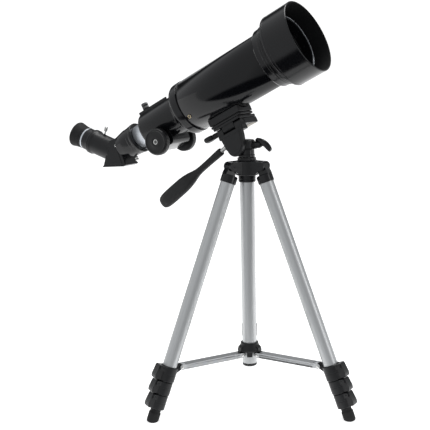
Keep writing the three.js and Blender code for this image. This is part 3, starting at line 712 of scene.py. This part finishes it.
def focus_knob(node, turn):
    """A ribbed hand wheel with a dished face and a screw at its centre."""
    place = TELESCOPE @ shift_mm(PINION_X, 0, PINION_Z) @ turn
    wheel = [
        (3.3, 21.7), (8, 21.7), (8, 29.6), (18.2, 29.6), (18.9, 30.2), (18.9, 36.8), (18.7, 38.4),
        (17.9, 39.6), (16.8, 40.2), (15.8, 40.0), (15.2, 39.4), (8.6, 39.0), (7.8, 39.4), (5.8, 39.4),
        (5.0, 38.8), (0, 38.8), (0, 37.4), (3.3, 37.4),
    ]
    rim = slab(toothed(19.5, 0.42, 60), 30.4, 37.2)
    skin(node, [spun(wheel, LARGE), rim], place, SATIN, 0.25)
    washer = ring(2.4, 3.6, 38.7, 39.3, SMALL)
    piece(f"{node}_washer", [washer], place, STEEL, node, bevel=0.15)
    piece(f"{node}_nut", [disc(2.3, 38.6, 39.9, 6)], place, DARK, node, bevel=0.2)


def pinion():
    teeth = slab(toothed(6.3, 0.9, 20), -4.5, 4.5, TO_Y)
    shaft = disc(3, -37, 37, SMALL, TO_Y)
    skin("pinion_shaft", [teeth, shaft], TELESCOPE @ shift_mm(PINION_X, 0, PINION_Z), STEEL, 0)


def drawtube():
    """The focus tube, with a rack of small teeth along its underside."""
    profile = [(16.2, 200), (17.5, 200), (17.7, 200.3), (17.7, 310.4), (17.3, 311), (16.2, 311)]
    width = (-3, 3)
    pitch = 2
    rack = [side_slab(rectangle((-309, -206), (-20, -17)), width)]
    for x in range(-308, -206, pitch):
        rack.append(side_slab([(x, -19.8), (x + 1.1, -19.8), (x + 0.8, -21), (x + 0.3, -21)], width))
    skin("drawtube", [back(profile), *rack], TELESCOPE, TURNED, 0)


# ---------------------------------------------------------------- diagonal and eyepiece

HOUSING_HALF = 16  # half the diagonal's width


def diagonal():
    barrel = [
        (13.6, 285), (15.6, 285), (15.87, 285.5), (15.87, 311.3), (22.4, 311.3), (23.2, 312.1),
        (23.2, 315.4), (22.8, 316.2), (22.4, 316.8), (22.3, 321.6), (21.8, 322.2), (21.6, 332.2),
        (20.6, 338), (18.8, 347.2), (13.6, 348),
    ]
    prism = [(-343, 14.6), (-357, 16), (-386.2, -13.6), (-349.8, -28.6), (-346, -28.2)]
    wedge = side_slab(prism, (-15.4, 15.4))
    cheeks = [
        side_slab([(-348, 9), (-357, 12), (-380.6, -12.4), (-351, -24.6)], y)
        for y in ((-HOUSING_HALF, -15.2), (15.2, HOUSING_HALF))
    ]
    lid = [(-387, -14), (-386.2, -12.2), (-349.2, -27.6), (-345.5, -27.2), (-345.5, -29), (-349.8, -29.4)]
    cover = side_slab(lid, (-HOUSING_HALF, HOUSING_HALF))
    skin("diagonal_body", [back(barrel), wedge, *cheeks, cover], TELESCOPE, GLOSS, 0.5)


def diagonal_holder():
    holder = [
        (13.6, 3), (16.4, 3), (17.1, 8), (17.3, 37.6), (17.9, 39.4), (18.7, 40.6), (19, 41.4), (19, 42.6),
        (18.6, 42.9), (18.6, 43.5), (19, 43.8), (19, 46), (18.2, 47.2), (16.2, 47.2), (16.2, 15), (13.6, 15),
    ]
    piece("diagonal_holder", [spun(holder, LARGE)], FOLDED, SATIN, "diagonal_body", bevel=0.25)


def diagonal_screws():
    for side, turn, towards in (("near", TO_NEAR, NEAR), ("far", TO_Y, FAR)):
        place = TELESCOPE @ shift_mm(-348, towards * 15.5, 4.8) @ turn
        cross_screw(f"diagonal_{side}_screw", place, 2.3, "diagonal_body")
    clamp = [disc(1.2, -22.6, -14.5), disc(1.9, -22.8, -21.8), *knurled_head(2.8, -28.4, -22.4, 16)]
    skin("diagonal_clamp_screw", clamp, TELESCOPE @ shift_mm(-333, 0, 0), STEEL, 0)
    set_screw = [moved(shape, TO_X) for shape in (disc(1.2, 16.8, 24), *knurled_head(2.7, 23.6, 30, 16))]
    skin("eyepiece_set_screw", set_screw, FOLDED @ shift_mm(0, 0, 28), STEEL, 0)


def eyepiece():
    body = [
        (14.6, 47.5), (16.4, 47.5), (17, 48.1), (17, 50.2), (16.7, 50.5), (16.7, 51.1), (17, 51.4),
        (17, 57.1), (16.6, 57.3), (16.6, 60), (14.6, 60), (14.6, 63.6), (9.6, 63.6), (9.6, 57),
        (8.2, 57), (8.2, 54), (13.6, 50),
    ]
    shell = skin("eyepiece_body", [spun(body, LARGE)], FOLDED, SATIN, 0.2)
    line_inside(shell, LINING, 2)
    barrel = [(13.6, 15.5), (15.6, 15.5), (15.87, 15.8), (15.87, 47.5), (14.6, 47.6), (13.6, 47.6)]
    piece("eyepiece_barrel", [spun(barrel, LARGE)], FOLDED, TURNED, "eyepiece_body", bevel=0)
    piece("eyepiece_band", [ring(16.5, 17, 57.4, 59.9, LARGE)], FOLDED, TURNED, "eyepiece_body", bevel=0.2)


def eye_lens():
    lens = [(0, 57.3), (9.3, 57.3), (9.3, 60.2), (7, 61.4), (4, 62.2), (0, 62.5)]
    skin("eye_lens", [spun(lens, MEDIUM)], FOLDED, GLASS, 0)


def eyecup():
    cup = [
        (14.9, 60.3), (16.8, 60.3), (17.2, 60.7), (17.2, 62.8), (16.9, 63.1), (16.9, 63.7), (17.2, 64),
        (17.4, 67), (17.7, 70), (18.4, 74), (19.1, 77.6), (19.4, 79), (19.2, 79.6), (18.6, 79.8), (18, 79.5),
        (17, 74.4), (16, 69.2), (14.9, 64.4),
    ]
    skin("eyecup", [spun(cup, LARGE)], FOLDED, RUBBER, 0)


# ---------------------------------------------------------------- head

FLIP_Y = -13  # the platform's hinge, in the telescope's frame
FLIP_Z = -57.5
FLIP_HINGE = shift(0, FLIP_Y, FLIP_Z) @ TO_X
TILT_X = -148.9  # the tilt pin, in the telescope's frame
TILT_Z = -85
WING_BOW = 0.015


def mounting_foot():
    saddle = arc((0, 0), 38.7, -62.3, -117.7, 16)
    outline = [(18, -44.5), *saddle, (-18, -44.5)]
    skin("mounting_foot", [end_slab(outline, (-182, -129))], TELESCOPE, SATIN, 0.9)


def camera_plate():
    plate = slab(rounded((-182, -129), (-18.5, 18.5), 3), -48.3, -45.6)
    skin("camera_plate", [plate], TELESCOPE, SATIN, 0.5)
    pad = slab(rounded((-180.5, -130.5), (-17.2, 17.2), 2.4), -45.7, -44.8)
    piece("camera_plate_pad", [pad], TELESCOPE, RUBBER, "camera_plate", bevel=0.2)


def flip_platform():
    table = slab(rounded((-180, -133), (-18.5, 28.5), 3), -52.3, -48.6)
    barrel = disc(4.8, -166, -146, MEDIUM, FLIP_HINGE)
    neck = side_slab(rectangle((-166, -146), (-57, -51)), (FLIP_Y - 4.2, FLIP_Y + 4.2))
    skin("flip_platform", [table, barrel, neck], TELESCOPE, SATIN, 0.6)


def tilt_body():
    """A cheek on the near side, a bridge over it, and a shelf for the platform on a riser."""
    bend = (-158.4, -86.2)
    cheek = [
        (-136.6, -63.6), (-174, -63.6), (-173, -72), (-171.8, -84), *arc(bend, 12.2, 178, 318, 16),
        (-143, -88), (-139, -76),
    ]
    raised = [(-141, -68), (-169, -68), (-168.4, -84), *arc(bend, 9, 180, 312), (-145.4, -88)]
    bridge = slab(rounded((-176, -134), (-20.2, -4), 2), -68.3, -63.4)
    riser = side_slab(rectangle((-175, -135), (-68, -58)), (-7.5, -4))
    shelf = slab(rounded((-176, -134), (-7.5, 31), 2.6), -60.6, -52.6)
    pin = disc(3.5, -14, 13.4, SMALL, shift(TILT_X, 0, TILT_Z) @ TO_Y)
    shapes = [
        side_slab(cheek, (-19.6, -12.4)), side_slab(raised, (-20.2, -19)), bridge, riser, shelf, pin,
        *flip_lug((-176, -166.3)), *flip_lug((-145.7, -134)),
    ]
    skin("tilt_body", shapes, TELESCOPE, SATIN, 0.7)
    nut = disc(3.6, 0, 2.4, 6, shift(TILT_X, 12.4, TILT_Z) @ TO_Y)
    piece("tilt_nut", [nut], TELESCOPE, DARK, "tilt_body", bevel=0.3)
    insert = slab(rounded((-170, -136.5), (14, 29.6), 1.4), -60.9, -60.4)
    piece("tilt_body_insert", [insert], TELESCOPE, PAD, "tilt_body", bevel=0.1)


def flip_lug(x):
    """Shapes of a barrel round the platform's hinge, on a stand."""
    radius = 4.8
    barrel = disc(radius, x[0], x[1], MEDIUM, FLIP_HINGE)
    stand = side_slab(rectangle(x, (-64, FLIP_Z)), (FLIP_Y - radius, FLIP_Y + radius))
    return [barrel, stand]


def flip_lock_knob():
    sections = [
        (-199.5, 2.4, 5.2), (-199.1, 3.4, 6.4), (-197.6, 4.1, 7.4), (-193, 4.2, 7.6), (-188.6, 4.0, 7.0),
        (-186.8, 3.4, 5.4), (-186, 2.6, 3.6),
    ]
    collar = disc(3.4, -187, -176.4, SMALL, TO_X)
    rings = [ring(3, 3.9, at, at + 1.1, SMALL, TO_X) for at in (-185, -182.4, -179.8)]
    shapes = [disc(2.4, -181, -138, SMALL, TO_X), collar, *rings, lofted(sections, 48, 0.8)]
    skin("flip_lock_knob", shapes, TELESCOPE @ shift_mm(0, FLIP_Y, FLIP_Z), SATIN, 0.3)


def handle_rod():
    threads = [ring(2.3, 2.95, turn - 7.5, turn - 7, SMALL, TO_X) for turn in range(7)]
    skin("handle_rod", [disc(2.9, -36, 12, SMALL, TO_X), *threads], HANDLE, STEEL, 0)


def handle_grip():
    sections = [
        (-141.5, 3.0, 2.0), (-141.1, 5.2, 3.3), (-139.8, 7.6, 4.8), (-137.4, 9.3, 5.8), (-133, 10.5, 6.5),
        (-126, 11.1, 6.9), (-116, 11.2, 7.0), (-104, 11.15, 7.0), (-94, 11.0, 7.0), (-84, 10.2, 6.7),
        (-75, 8.6, 6.2), (-67, 6.6, 5.6), (-60, 5.2, 5.1), (-52, 4.7, 4.8), (-40, 4.7, 4.8),
        (-26, 5.0, 4.9), (-14, 5.3, 5.1), (-10.8, 5.3, 5.1), (-9.8, 5.0, 4.8), (-9.4, 4.4, 4.3),
    ]
    skin("handle_grip", [lofted(sections, 64, 0.82)], HANDLE, GRIP, 0)
    swell = [(x, 0.74 * tall, thick + 0.02) for x, tall, thick in sections[4:11]]
    butt = (swell[0][0] - 2.4, 3.2, swell[0][2] - 0.5)
    tip = (swell[-1][0] + 4, 2.6, swell[-1][2] - 0.6)
    panel = lofted([butt, *swell, tip], 64, 0.5)
    piece("handle_grip_panel", [panel], HANDLE, GRIP, "handle_grip", bevel=0)


def pan_neck():
    neck = [
        (0, 353.9), (10.9, 353.9), (11.5, 354.5), (11.5, 357.6), (10.9, 358.2), (10.9, 364.6), (11.5, 365.2),
        (11.5, 366), (0, 366),
    ]
    skin("pan_neck", [spun(neck)], COLUMN, GLOSS, 0.3)


def pan_turret():
    turret = [
        (0, 366.3), (11.3, 366.3), (11.8, 366.8), (11.8, 375.4), (11.2, 377.2), (9.3, 378.5), (0, 378.5),
    ]
    boss = disc(5.4, 8, 15.2, MEDIUM, shift(0, 0, 371.2) @ TO_X)
    skin("pan_turret", [spun(turret), boss], COLUMN, SATIN, 0.4)


def pan_lock_knob():
    """A screw with a collar and a curved thumb wing."""
    screw = shift(0, 0, 371.6) @ TO_X
    collar = [(0, 12.4), (4.2, 12.4), (4.7, 13), (4.7, 20.4), (3.6, 23), (0, 23)]
    shapes = [disc(2.2, 7.4, 25, SMALL, screw), spun(collar, SMALL, screw), pan_wing()]
    skin("pan_lock_knob", shapes, COLUMN, GLOSS, 0.3)


def pan_wing():
    """A wing that is thicker at its middle and bows downwards towards its ends."""
    verts, faces = lofted([
        (-13.6, 1.6, 2.0), (-13.1, 2.6, 2.8), (-9, 3.4, 3.6), (-4, 3.9, 4.0), (0, 4.2, 4.2),
        (4, 4.2, 4.2), (9, 3.9, 3.9), (12.8, 3.0, 3.2), (13.6, 1.8, 2.2),
    ], 48, 0.95)
    bowed = [Vector((vert.x, vert.y, vert.z - WING_BOW * vert.x * vert.x + 1.6)) for vert in verts]
    return moved((bowed, faces), shift(27.4, 0, 372.6) @ spin(34, "Y"))


# ---------------------------------------------------------------- centre column

HUB_LOW = 329.3
HUB_HIGH = 349.4
HINGE_OUT = 2.7  # the leg's hinge from the leg's top, away from the column
HINGE_UP = 2  # and up the leg
PIN_RADIUS = LEG_TOP_RADIUS + HINGE_OUT * math.cos(LEG_LEAN) - HINGE_UP * math.sin(LEG_LEAN)
PIN_HEIGHT = LEG_TOP_HEIGHT + HINGE_OUT * math.sin(LEG_LEAN) + HINGE_UP * math.cos(LEG_LEAN)
BRACE_HEIGHT = 70.1
BRACE_INNER = 14.6
BRACE_OUTER = 110.3
BRACE_HALF = 3.5  # half a brace's height


def lock_ring():
    bore = 9.3
    grips = holed(slab(toothed(13, 0.9, 14, 6), 349.9, 353.3), bore)
    skin("column_lock_ring", [ring(bore, 12.3, 349.7, 353.6), grips], COLUMN, SATIN, 0.15)


def hub():
    body = [
        (10.55, 319.6), (11.5, 319.6), (12, 320.2), (12, 322.4), (11.6, 322.8), (11.6, 323.4), (12, 323.8),
        (12, HUB_LOW), (15.6, HUB_LOW), (16.5, 330.4), (16.5, 347.4), (15.6, 349), (14.4, HUB_HIGH),
        (10.55, HUB_HIGH),
    ]
    ear = [
        (11, HUB_LOW + 0.8), (PIN_RADIUS - 6, HUB_LOW + 3),
        *arc((PIN_RADIUS, PIN_HEIGHT), 6.4, -100, 96, 20), (11, HUB_HIGH - 0.3),
    ]
    shapes = [spun(body)]
    for azimuth in AZIMUTHS.values():
        turn = spin(azimuth, "Z")
        for y in ((6.2, 9.8), (-9.8, -6.2)):
            shapes.append(moved(side_slab(ear, y), turn))
    skin("hub", shapes, COLUMN, SATIN, 1.1)
    for side, azimuth in AZIMUTHS.items():
        place = COLUMN @ spin(azimuth, "Z")
        rivet(f"{side}_hinge_pin", (PIN_RADIUS, PIN_HEIGHT), 8.9, "hub", place, SATIN)


def column():
    skin("column_tube", [ring(9.35, 10.25, 56.7, 349)], COLUMN, SILVER, 0.15)
    skin("elevator_column", [ring(7.9, 9, 80, 361.7)], COLUMN, SILVER, 0.15)
    cap = [(0, 52.6), (9.2, 52.6), (10.1, 53.2), (10.4, 54), (10.4, 56.4), (9.05, 56.4), (9.05, 64), (0, 64)]
    skin("column_cap", [spun(cap)], COLUMN, SATIN, 0.15)


def brace_hub():
    body = [
        (10.55, 74.6), (15.4, 74.6), (16.2, 75.4), (16.6, 77.4), (16.2, 79.4), (14.4, 81.6), (13.3, 83.4),
        (12.9, 85.6), (12.6, 87), (12.1, 87.4), (10.55, 87.4),
    ]
    tab = [
        (9.6, 76), (9.6, 67.2), *arc((BRACE_INNER, BRACE_HEIGHT), 3.3, -90, 0, 8), (BRACE_INNER + 3.3, 76),
    ]
    boss = [(12, 76), (17.6, 76), (16.4, 81), (12, 84)]
    skirt = slab(rounded((10.7, 14), (-4, 4), 0.8), 67.6, 76)
    shapes = [spun(body)]
    for azimuth in AZIMUTHS.values():
        turn = spin(azimuth, "Z")
        shapes.append(moved(side_slab(tab, (-3.2, 3.2)), turn))
        shapes.append(moved(side_slab(boss, (-4.6, 4.6)), turn))
        shapes.append(moved(skirt, spin(azimuth + 60, "Z")))
    skin("brace_hub", shapes, COLUMN, SATIN, 0.5)


def brace(side):
    """A folded channel, open below, with rolled lips and a rivet near each end."""
    place = COLUMN @ spin(AZIMUTHS[side], "Z")
    low = BRACE_HEIGHT - BRACE_HALF
    high = BRACE_HEIGHT + BRACE_HALF
    channel = [
        (-6.25, low), (-5.0, low), (-5.0, high - 1.2), (5.0, high - 1.2), (5.0, low), (6.25, low),
        (6.25, high - 0.9), (5.35, high), (-5.35, high), (-6.25, high - 0.9),
    ]
    flank = [
        *arc((BRACE_INNER, BRACE_HEIGHT), BRACE_HALF, 90, 270),
        *arc((BRACE_OUTER, BRACE_HEIGHT), BRACE_HALF, -90, 90),
    ]
    bead = rectangle((BRACE_INNER + 5, BRACE_OUTER - 6), (BRACE_HEIGHT - 0.6, BRACE_HEIGHT + 0.6))
    shapes = [
        end_slab(channel, (BRACE_INNER + 4.2, BRACE_OUTER - 7)),
        side_slab(flank, (-6.25, -5.05)),
        side_slab(flank, (5.05, 6.25)),
        side_slab(bead, (-6.5, -6.1)),
        side_slab(bead, (6.1, 6.5)),
    ]
    skin(f"{side}_brace", shapes, place, STRIP, 0.3)
    for number, at in enumerate((BRACE_INNER, BRACE_OUTER)):
        rivet(f"{side}_brace_rivet_{number}", (at, BRACE_HEIGHT), 6.2, f"{side}_brace", place)


# ---------------------------------------------------------------- legs

def leg_top(side):
    collar = [
        (10.3, -21), (10.9, -21), (11.3, -20.4), (11.3, -11.4), (11.0, -10.2), (9.8, -9.5), (0, -9.5),
        (0, -12.5), (10.3, -12.5),
    ]
    eye = [(-5, -10.4), (10, -10.4), *arc((HINGE_OUT, HINGE_UP), 6.1, -20, 170, 20)]
    shapes = [spun(collar), side_slab(eye, (-5.9, 5.9))]
    skin(f"{side}_leg_knuckle", shapes, LEGS[side], GLOSS, 0.7)


def leg_tube(side, number, inner, outer, top, bottom):
    skin(f"{side}_leg_tube_{number}", [ring(inner, outer, -bottom, -top)], LEGS[side], SILVER, 0.15)


def leg_lock(side, number, top, bottom, radius, reach, bore):
    """A collar with a groove round its middle and a clamp lever on its outer side."""
    node = f"{side}_leg_lock_{number}"
    middle = -(top + bottom) / 2
    collar = [
        (bore, -bottom), (radius - 0.9, -bottom), (radius, -bottom + 0.9), (radius, middle - 0.5),
        (radius - 0.35, middle - 0.2), (radius - 0.35, middle + 0.2), (radius, middle + 0.5),
        (radius, -top - 0.9), (radius - 0.9, -top), (bore, -top),
    ]
    lever = [
        (radius - 4, 0.8 - bottom), (reach - 1.8, 0.8 - bottom), (reach - 0.8, 2.4 - bottom),
        (reach - 0.4, 6 - bottom), (reach - 2.2, -top - 2.4), (reach - 3.2, -top - 0.8),
        (radius - 4, -top - 0.8),
    ]
    cheek = rounded((radius - 5, reach - 3.4), (-top - 7.4, -top - 0.8), 2)
    shapes = [
        spun(collar),
        side_slab(lever, (-6.4, 6.4)),
        side_slab(cheek, (-8.2, -6.4)),
        side_slab(cheek, (6.4, 8.2)),
    ]
    if number == 1:
        shapes.append(brace_lug())
    skin(node, shapes, LEGS[side], SATIN, 0.9)
    pin = spun([(0, 0), (1.5, 0), (1.3, 0.35), (0, 0.45)], SMALL)
    for letter, y, turn in (("a", -8.1, TO_NEAR), ("b", 8.1, TO_Y)):
        place = LEGS[side] @ shift_mm(radius - 0.6, y, -top - 4) @ turn
        piece(f"{node}_pin_{letter}", [pin], place, SATIN, node, bevel=0)


def brace_lug():
    """The lug on the first lock's inner side that holds the end of the brace."""
    outline = [(-10.8, -294.5), (-10.8, -285.1), (-15.4, -279.1), *arc((-17.4, -282.5), 3.2, 70, 250)]
    return side_slab(outline, (-3.2, 3.2))


def foot(side):
    node = f"{side}_leg_foot_section"
    skin(node, [disc(6.2, -352, -50, MEDIUM)], LEGS[side], SILVER, 0)
    sole = [
        (0, -366.6), (6.4, -366.5), (7.5, -365.8), (8.0, -364.4), (8.15, -361), (8.25, -353),
        (8.0, -351.6), (7.2, -350.6), (7.2, -346.4), (0, -346.4),
    ]
    rubber_foot = piece(f"{side}_foot", [spun(sole)], LEGS[side], RUBBER, node, bevel=0)
    flatten_sole(rubber_foot)


def flatten_sole(obj):
    """Cuts a foot off flat where it meets the floor."""
    to_local = obj.matrix_world.inverted()
    point = to_local @ Vector((*obj.matrix_world.translation.xy, 0))
    normal = (to_local.to_3x3() @ UP).normalized()
    whole = bmesh.new()
    whole.from_mesh(obj.data)
    everything = whole.verts[:] + whole.edges[:] + whole.faces[:]
    cut = bmesh.ops.bisect_plane(whole, geom=everything, plane_co=point, plane_no=normal, clear_inner=True)
    rim = [edge for edge in cut["geom_cut"] if isinstance(edge, bmesh.types.BMEdge)]
    bmesh.ops.contextual_create(whole, geom=rim)
    whole.to_mesh(obj.data)
    whole.free()
    soften(obj, 0.5)


def leg(side):
    leg_top(side)
    leg_tube(side, 1, inner=9, outer=10, top=12.8, bottom=300)
    leg_lock(side, 1, top=285, bottom=306, radius=12.4, reach=20.5, bore=10.3)
    leg_tube(side, 2, inner=7.8, outer=8.6, top=30, bottom=320)
    leg_lock(side, 2, top=306.3, bottom=325.2, radius=11.6, reach=18.8, bore=8.9)
    leg_tube(side, 3, inner=6.6, outer=7.4, top=40, bottom=340)
    leg_lock(side, 3, top=325.5, bottom=346, radius=10.9, reach=17.4, bore=7.7)
    foot(side)


# ---------------------------------------------------------------- stage

CAMERA_AZIMUTH = 30  # degrees round from the telescope's near side towards its front
CAMERA_DISTANCE = 1.195  # from the column
CAMERA_HEIGHT = 0.477
CAMERA_YAW = -2.2  # degrees, like the next two
CAMERA_PITCH = -9.69
CAMERA_ROLL = -1.24
LENS_MM = 72.1
SENSOR_MM = 36
FLOOR_HALF = 30  # half the floor's width
FLOOR_FRONT = 0.18  # from the column towards the camera
FLOOR_BACK = 60  # from the column away from the camera
FLOOR_GLOW = 0.7
ROOM = 0.5  # strengths of the surroundings' light
LEFT_WALL = 0.75
SWEEP = 0.75
BACKDROP = 1.1


def camera_directions():
    """Level directions to the right of the view and away from the camera."""
    turn = spin(CAMERA_AZIMUTH, "Z").to_3x3()
    return turn @ Vector((1, 0, 0)), turn @ Vector((0, 1, 0))


def floor():
    """A pale floor that gives off a little light of its own."""
    surface = Surface("pale_floor", (0.8, 0.8, 0.8), Specular_IOR_Level=0.1, Emission_Strength=FLOOR_GLOW)
    surface.shader.inputs["Emission Color"].default_value = (1, 1, 1, 1)
    surface.varied(tint=(3, 0.99, 1.01), rough=(20, 0.6, 0.7))
    mesh = bpy.data.meshes.new("floor")
    right, forward = camera_directions()
    corners = [
        COLUMN.translation + right * across + forward * away
        for across, away in rectangle((-FLOOR_HALF, FLOOR_HALF), (-FLOOR_FRONT, FLOOR_BACK))
    ]
    mesh.from_pydata(corners, [], [(0, 1, 2, 3)])
    obj = added("floor", mesh)
    obj.data.materials.append(surface.material)


def softbox(name, offset, size, watts):
    """A panel of light at an offset (right, forward, up) from the object's middle, and facing it."""
    right, forward = camera_directions()
    away = right * offset[0] + forward * offset[1] + UP * offset[2]
    data = bpy.data.lights.new(name, "AREA")
    data.shape = "RECTANGLE"
    data.size, data.size_y = size
    data.energy = watts
    obj = added(name, data)
    obj.location = (cad_box[0] + cad_box[1]) / 2 + away
    obj.rotation_mode = "QUATERNION"
    obj.rotation_quaternion = (-away).to_track_quat("-Z", "Y")


class Surroundings:
    """The world's light: strengths that depend on the direction, and a plain backdrop for the camera."""

    def __init__(self):
        world = bpy.data.worlds.new("studio")
        bpy.context.scene.world = world
        world.use_nodes = True
        self.nodes = world.node_tree.nodes
        self.links = world.node_tree.links
        self.direction = self.nodes.new("ShaderNodeTexCoord").outputs["Generated"]

    def towards(self, vector, low, high, before, after):
        """A smooth step from one value to another, from a low to a high cosine with a vector."""
        dot = self.nodes.new("ShaderNodeVectorMath")
        dot.operation = "DOT_PRODUCT"
        dot.inputs[1].default_value = vector
        self.links.new(self.direction, dot.inputs[0])
        step = self.nodes.new("ShaderNodeMapRange")
        step.interpolation_type = "SMOOTHSTEP"
        for socket, value in zip(("From Min", "From Max", "To Min", "To Max"), (low, high, before, after)):
            step.inputs[socket].default_value = value
        self.links.new(dot.outputs["Value"], step.inputs["Value"])
        return step.outputs["Result"]

    def joined(self, operation, first, second):
        node = self.nodes.new("ShaderNodeMath")
        node.operation = operation
        self.links.new(first, node.inputs[0])
        self.links.new(second, node.inputs[1])
        return node.outputs["Value"]

    def show(self, strength):
        """Lights the object by the given strength and shows the camera the backdrop."""
        surround = self.nodes["Background"]
        surround.inputs["Color"].default_value = (0.97, 0.985, 1, 1)
        self.links.new(strength, surround.inputs["Strength"])
        backdrop = self.nodes.new("ShaderNodeBackground")
        backdrop.inputs["Color"].default_value = (1, 1, 1, 1)
        backdrop.inputs["Strength"].default_value = BACKDROP
        path = self.nodes.new("ShaderNodeLightPath")
        mix = self.nodes.new("ShaderNodeMixShader")
        self.links.new(path.outputs["Is Camera Ray"], mix.inputs["Fac"])
        self.links.new(surround.outputs["Background"], mix.inputs[1])
        self.links.new(backdrop.outputs["Background"], mix.inputs[2])
        self.links.new(mix.outputs["Shader"], self.nodes["World Output"].inputs["Surface"])


def studio():
    """A grey room, dark below and round the bright sweep behind the object, and two soft panels."""
    right, forward = camera_directions()
    world = Surroundings()
    above = world.towards(UP, low=-0.66, high=-0.5, before=0.01, after=1)
    sideways = world.towards(right, low=-0.35, high=0.1, before=LEFT_WALL, after=ROOM)
    nearby = world.towards(forward, low=0.6, high=0.8, before=1, after=0.04)
    sweep = world.towards(forward, low=0.9, high=0.98, before=0, after=SWEEP)
    room = world.joined("MULTIPLY", world.joined("MULTIPLY", above, sideways), nearby)
    world.show(world.joined("ADD", room, sweep))
    softbox("overhead", offset=(0.5, 0.4, 2.2), size=(1.4, 1.4), watts=40)
    softbox("right_panel", offset=(1.8, -0.9, 0.5), size=(0.7, 1.8), watts=7)


def camera():
    data = bpy.data.cameras.new("camera")
    data.lens = LENS_MM
    data.sensor_width = SENSOR_MM
    data.clip_end = FLOOR_BACK
    obj = added("camera", data)
    aim = (
        spin(CAMERA_AZIMUTH - CAMERA_YAW, "Z")
        @ spin(90 + CAMERA_PITCH, "X")
        @ spin(CAMERA_ROLL, "Z")
    )
    _, forward = camera_directions()
    place = COLUMN.translation - forward * CAMERA_DISTANCE + UP * CAMERA_HEIGHT
    obj.matrix_world = Matrix.Translation(place) @ aim
    bpy.context.scene.camera = obj


# ---------------------------------------------------------------- assembly

dew_shield()
lens_cell()
objective_lens()
main_tube()
focuser_body()
finder_rail()
focus_lock_screw()
focus_knob("focus_knob_near", TO_NEAR)
focus_knob("focus_knob_far", TO_Y)
pinion()
drawtube()
diagonal()
diagonal_holder()
diagonal_screws()
eyepiece()
eye_lens()
eyecup()
mounting_foot()
camera_plate()
flip_platform()
tilt_body()
flip_lock_knob()
handle_rod()
handle_grip()
pan_neck()
pan_turret()
pan_lock_knob()
lock_ring()
hub()
column()
brace_hub()
for side in LEG_NAMES:
    brace(side)
    leg(side)
floor()
studio()
camera()
bpy.context.scene.view_settings.view_transform = "Standard"
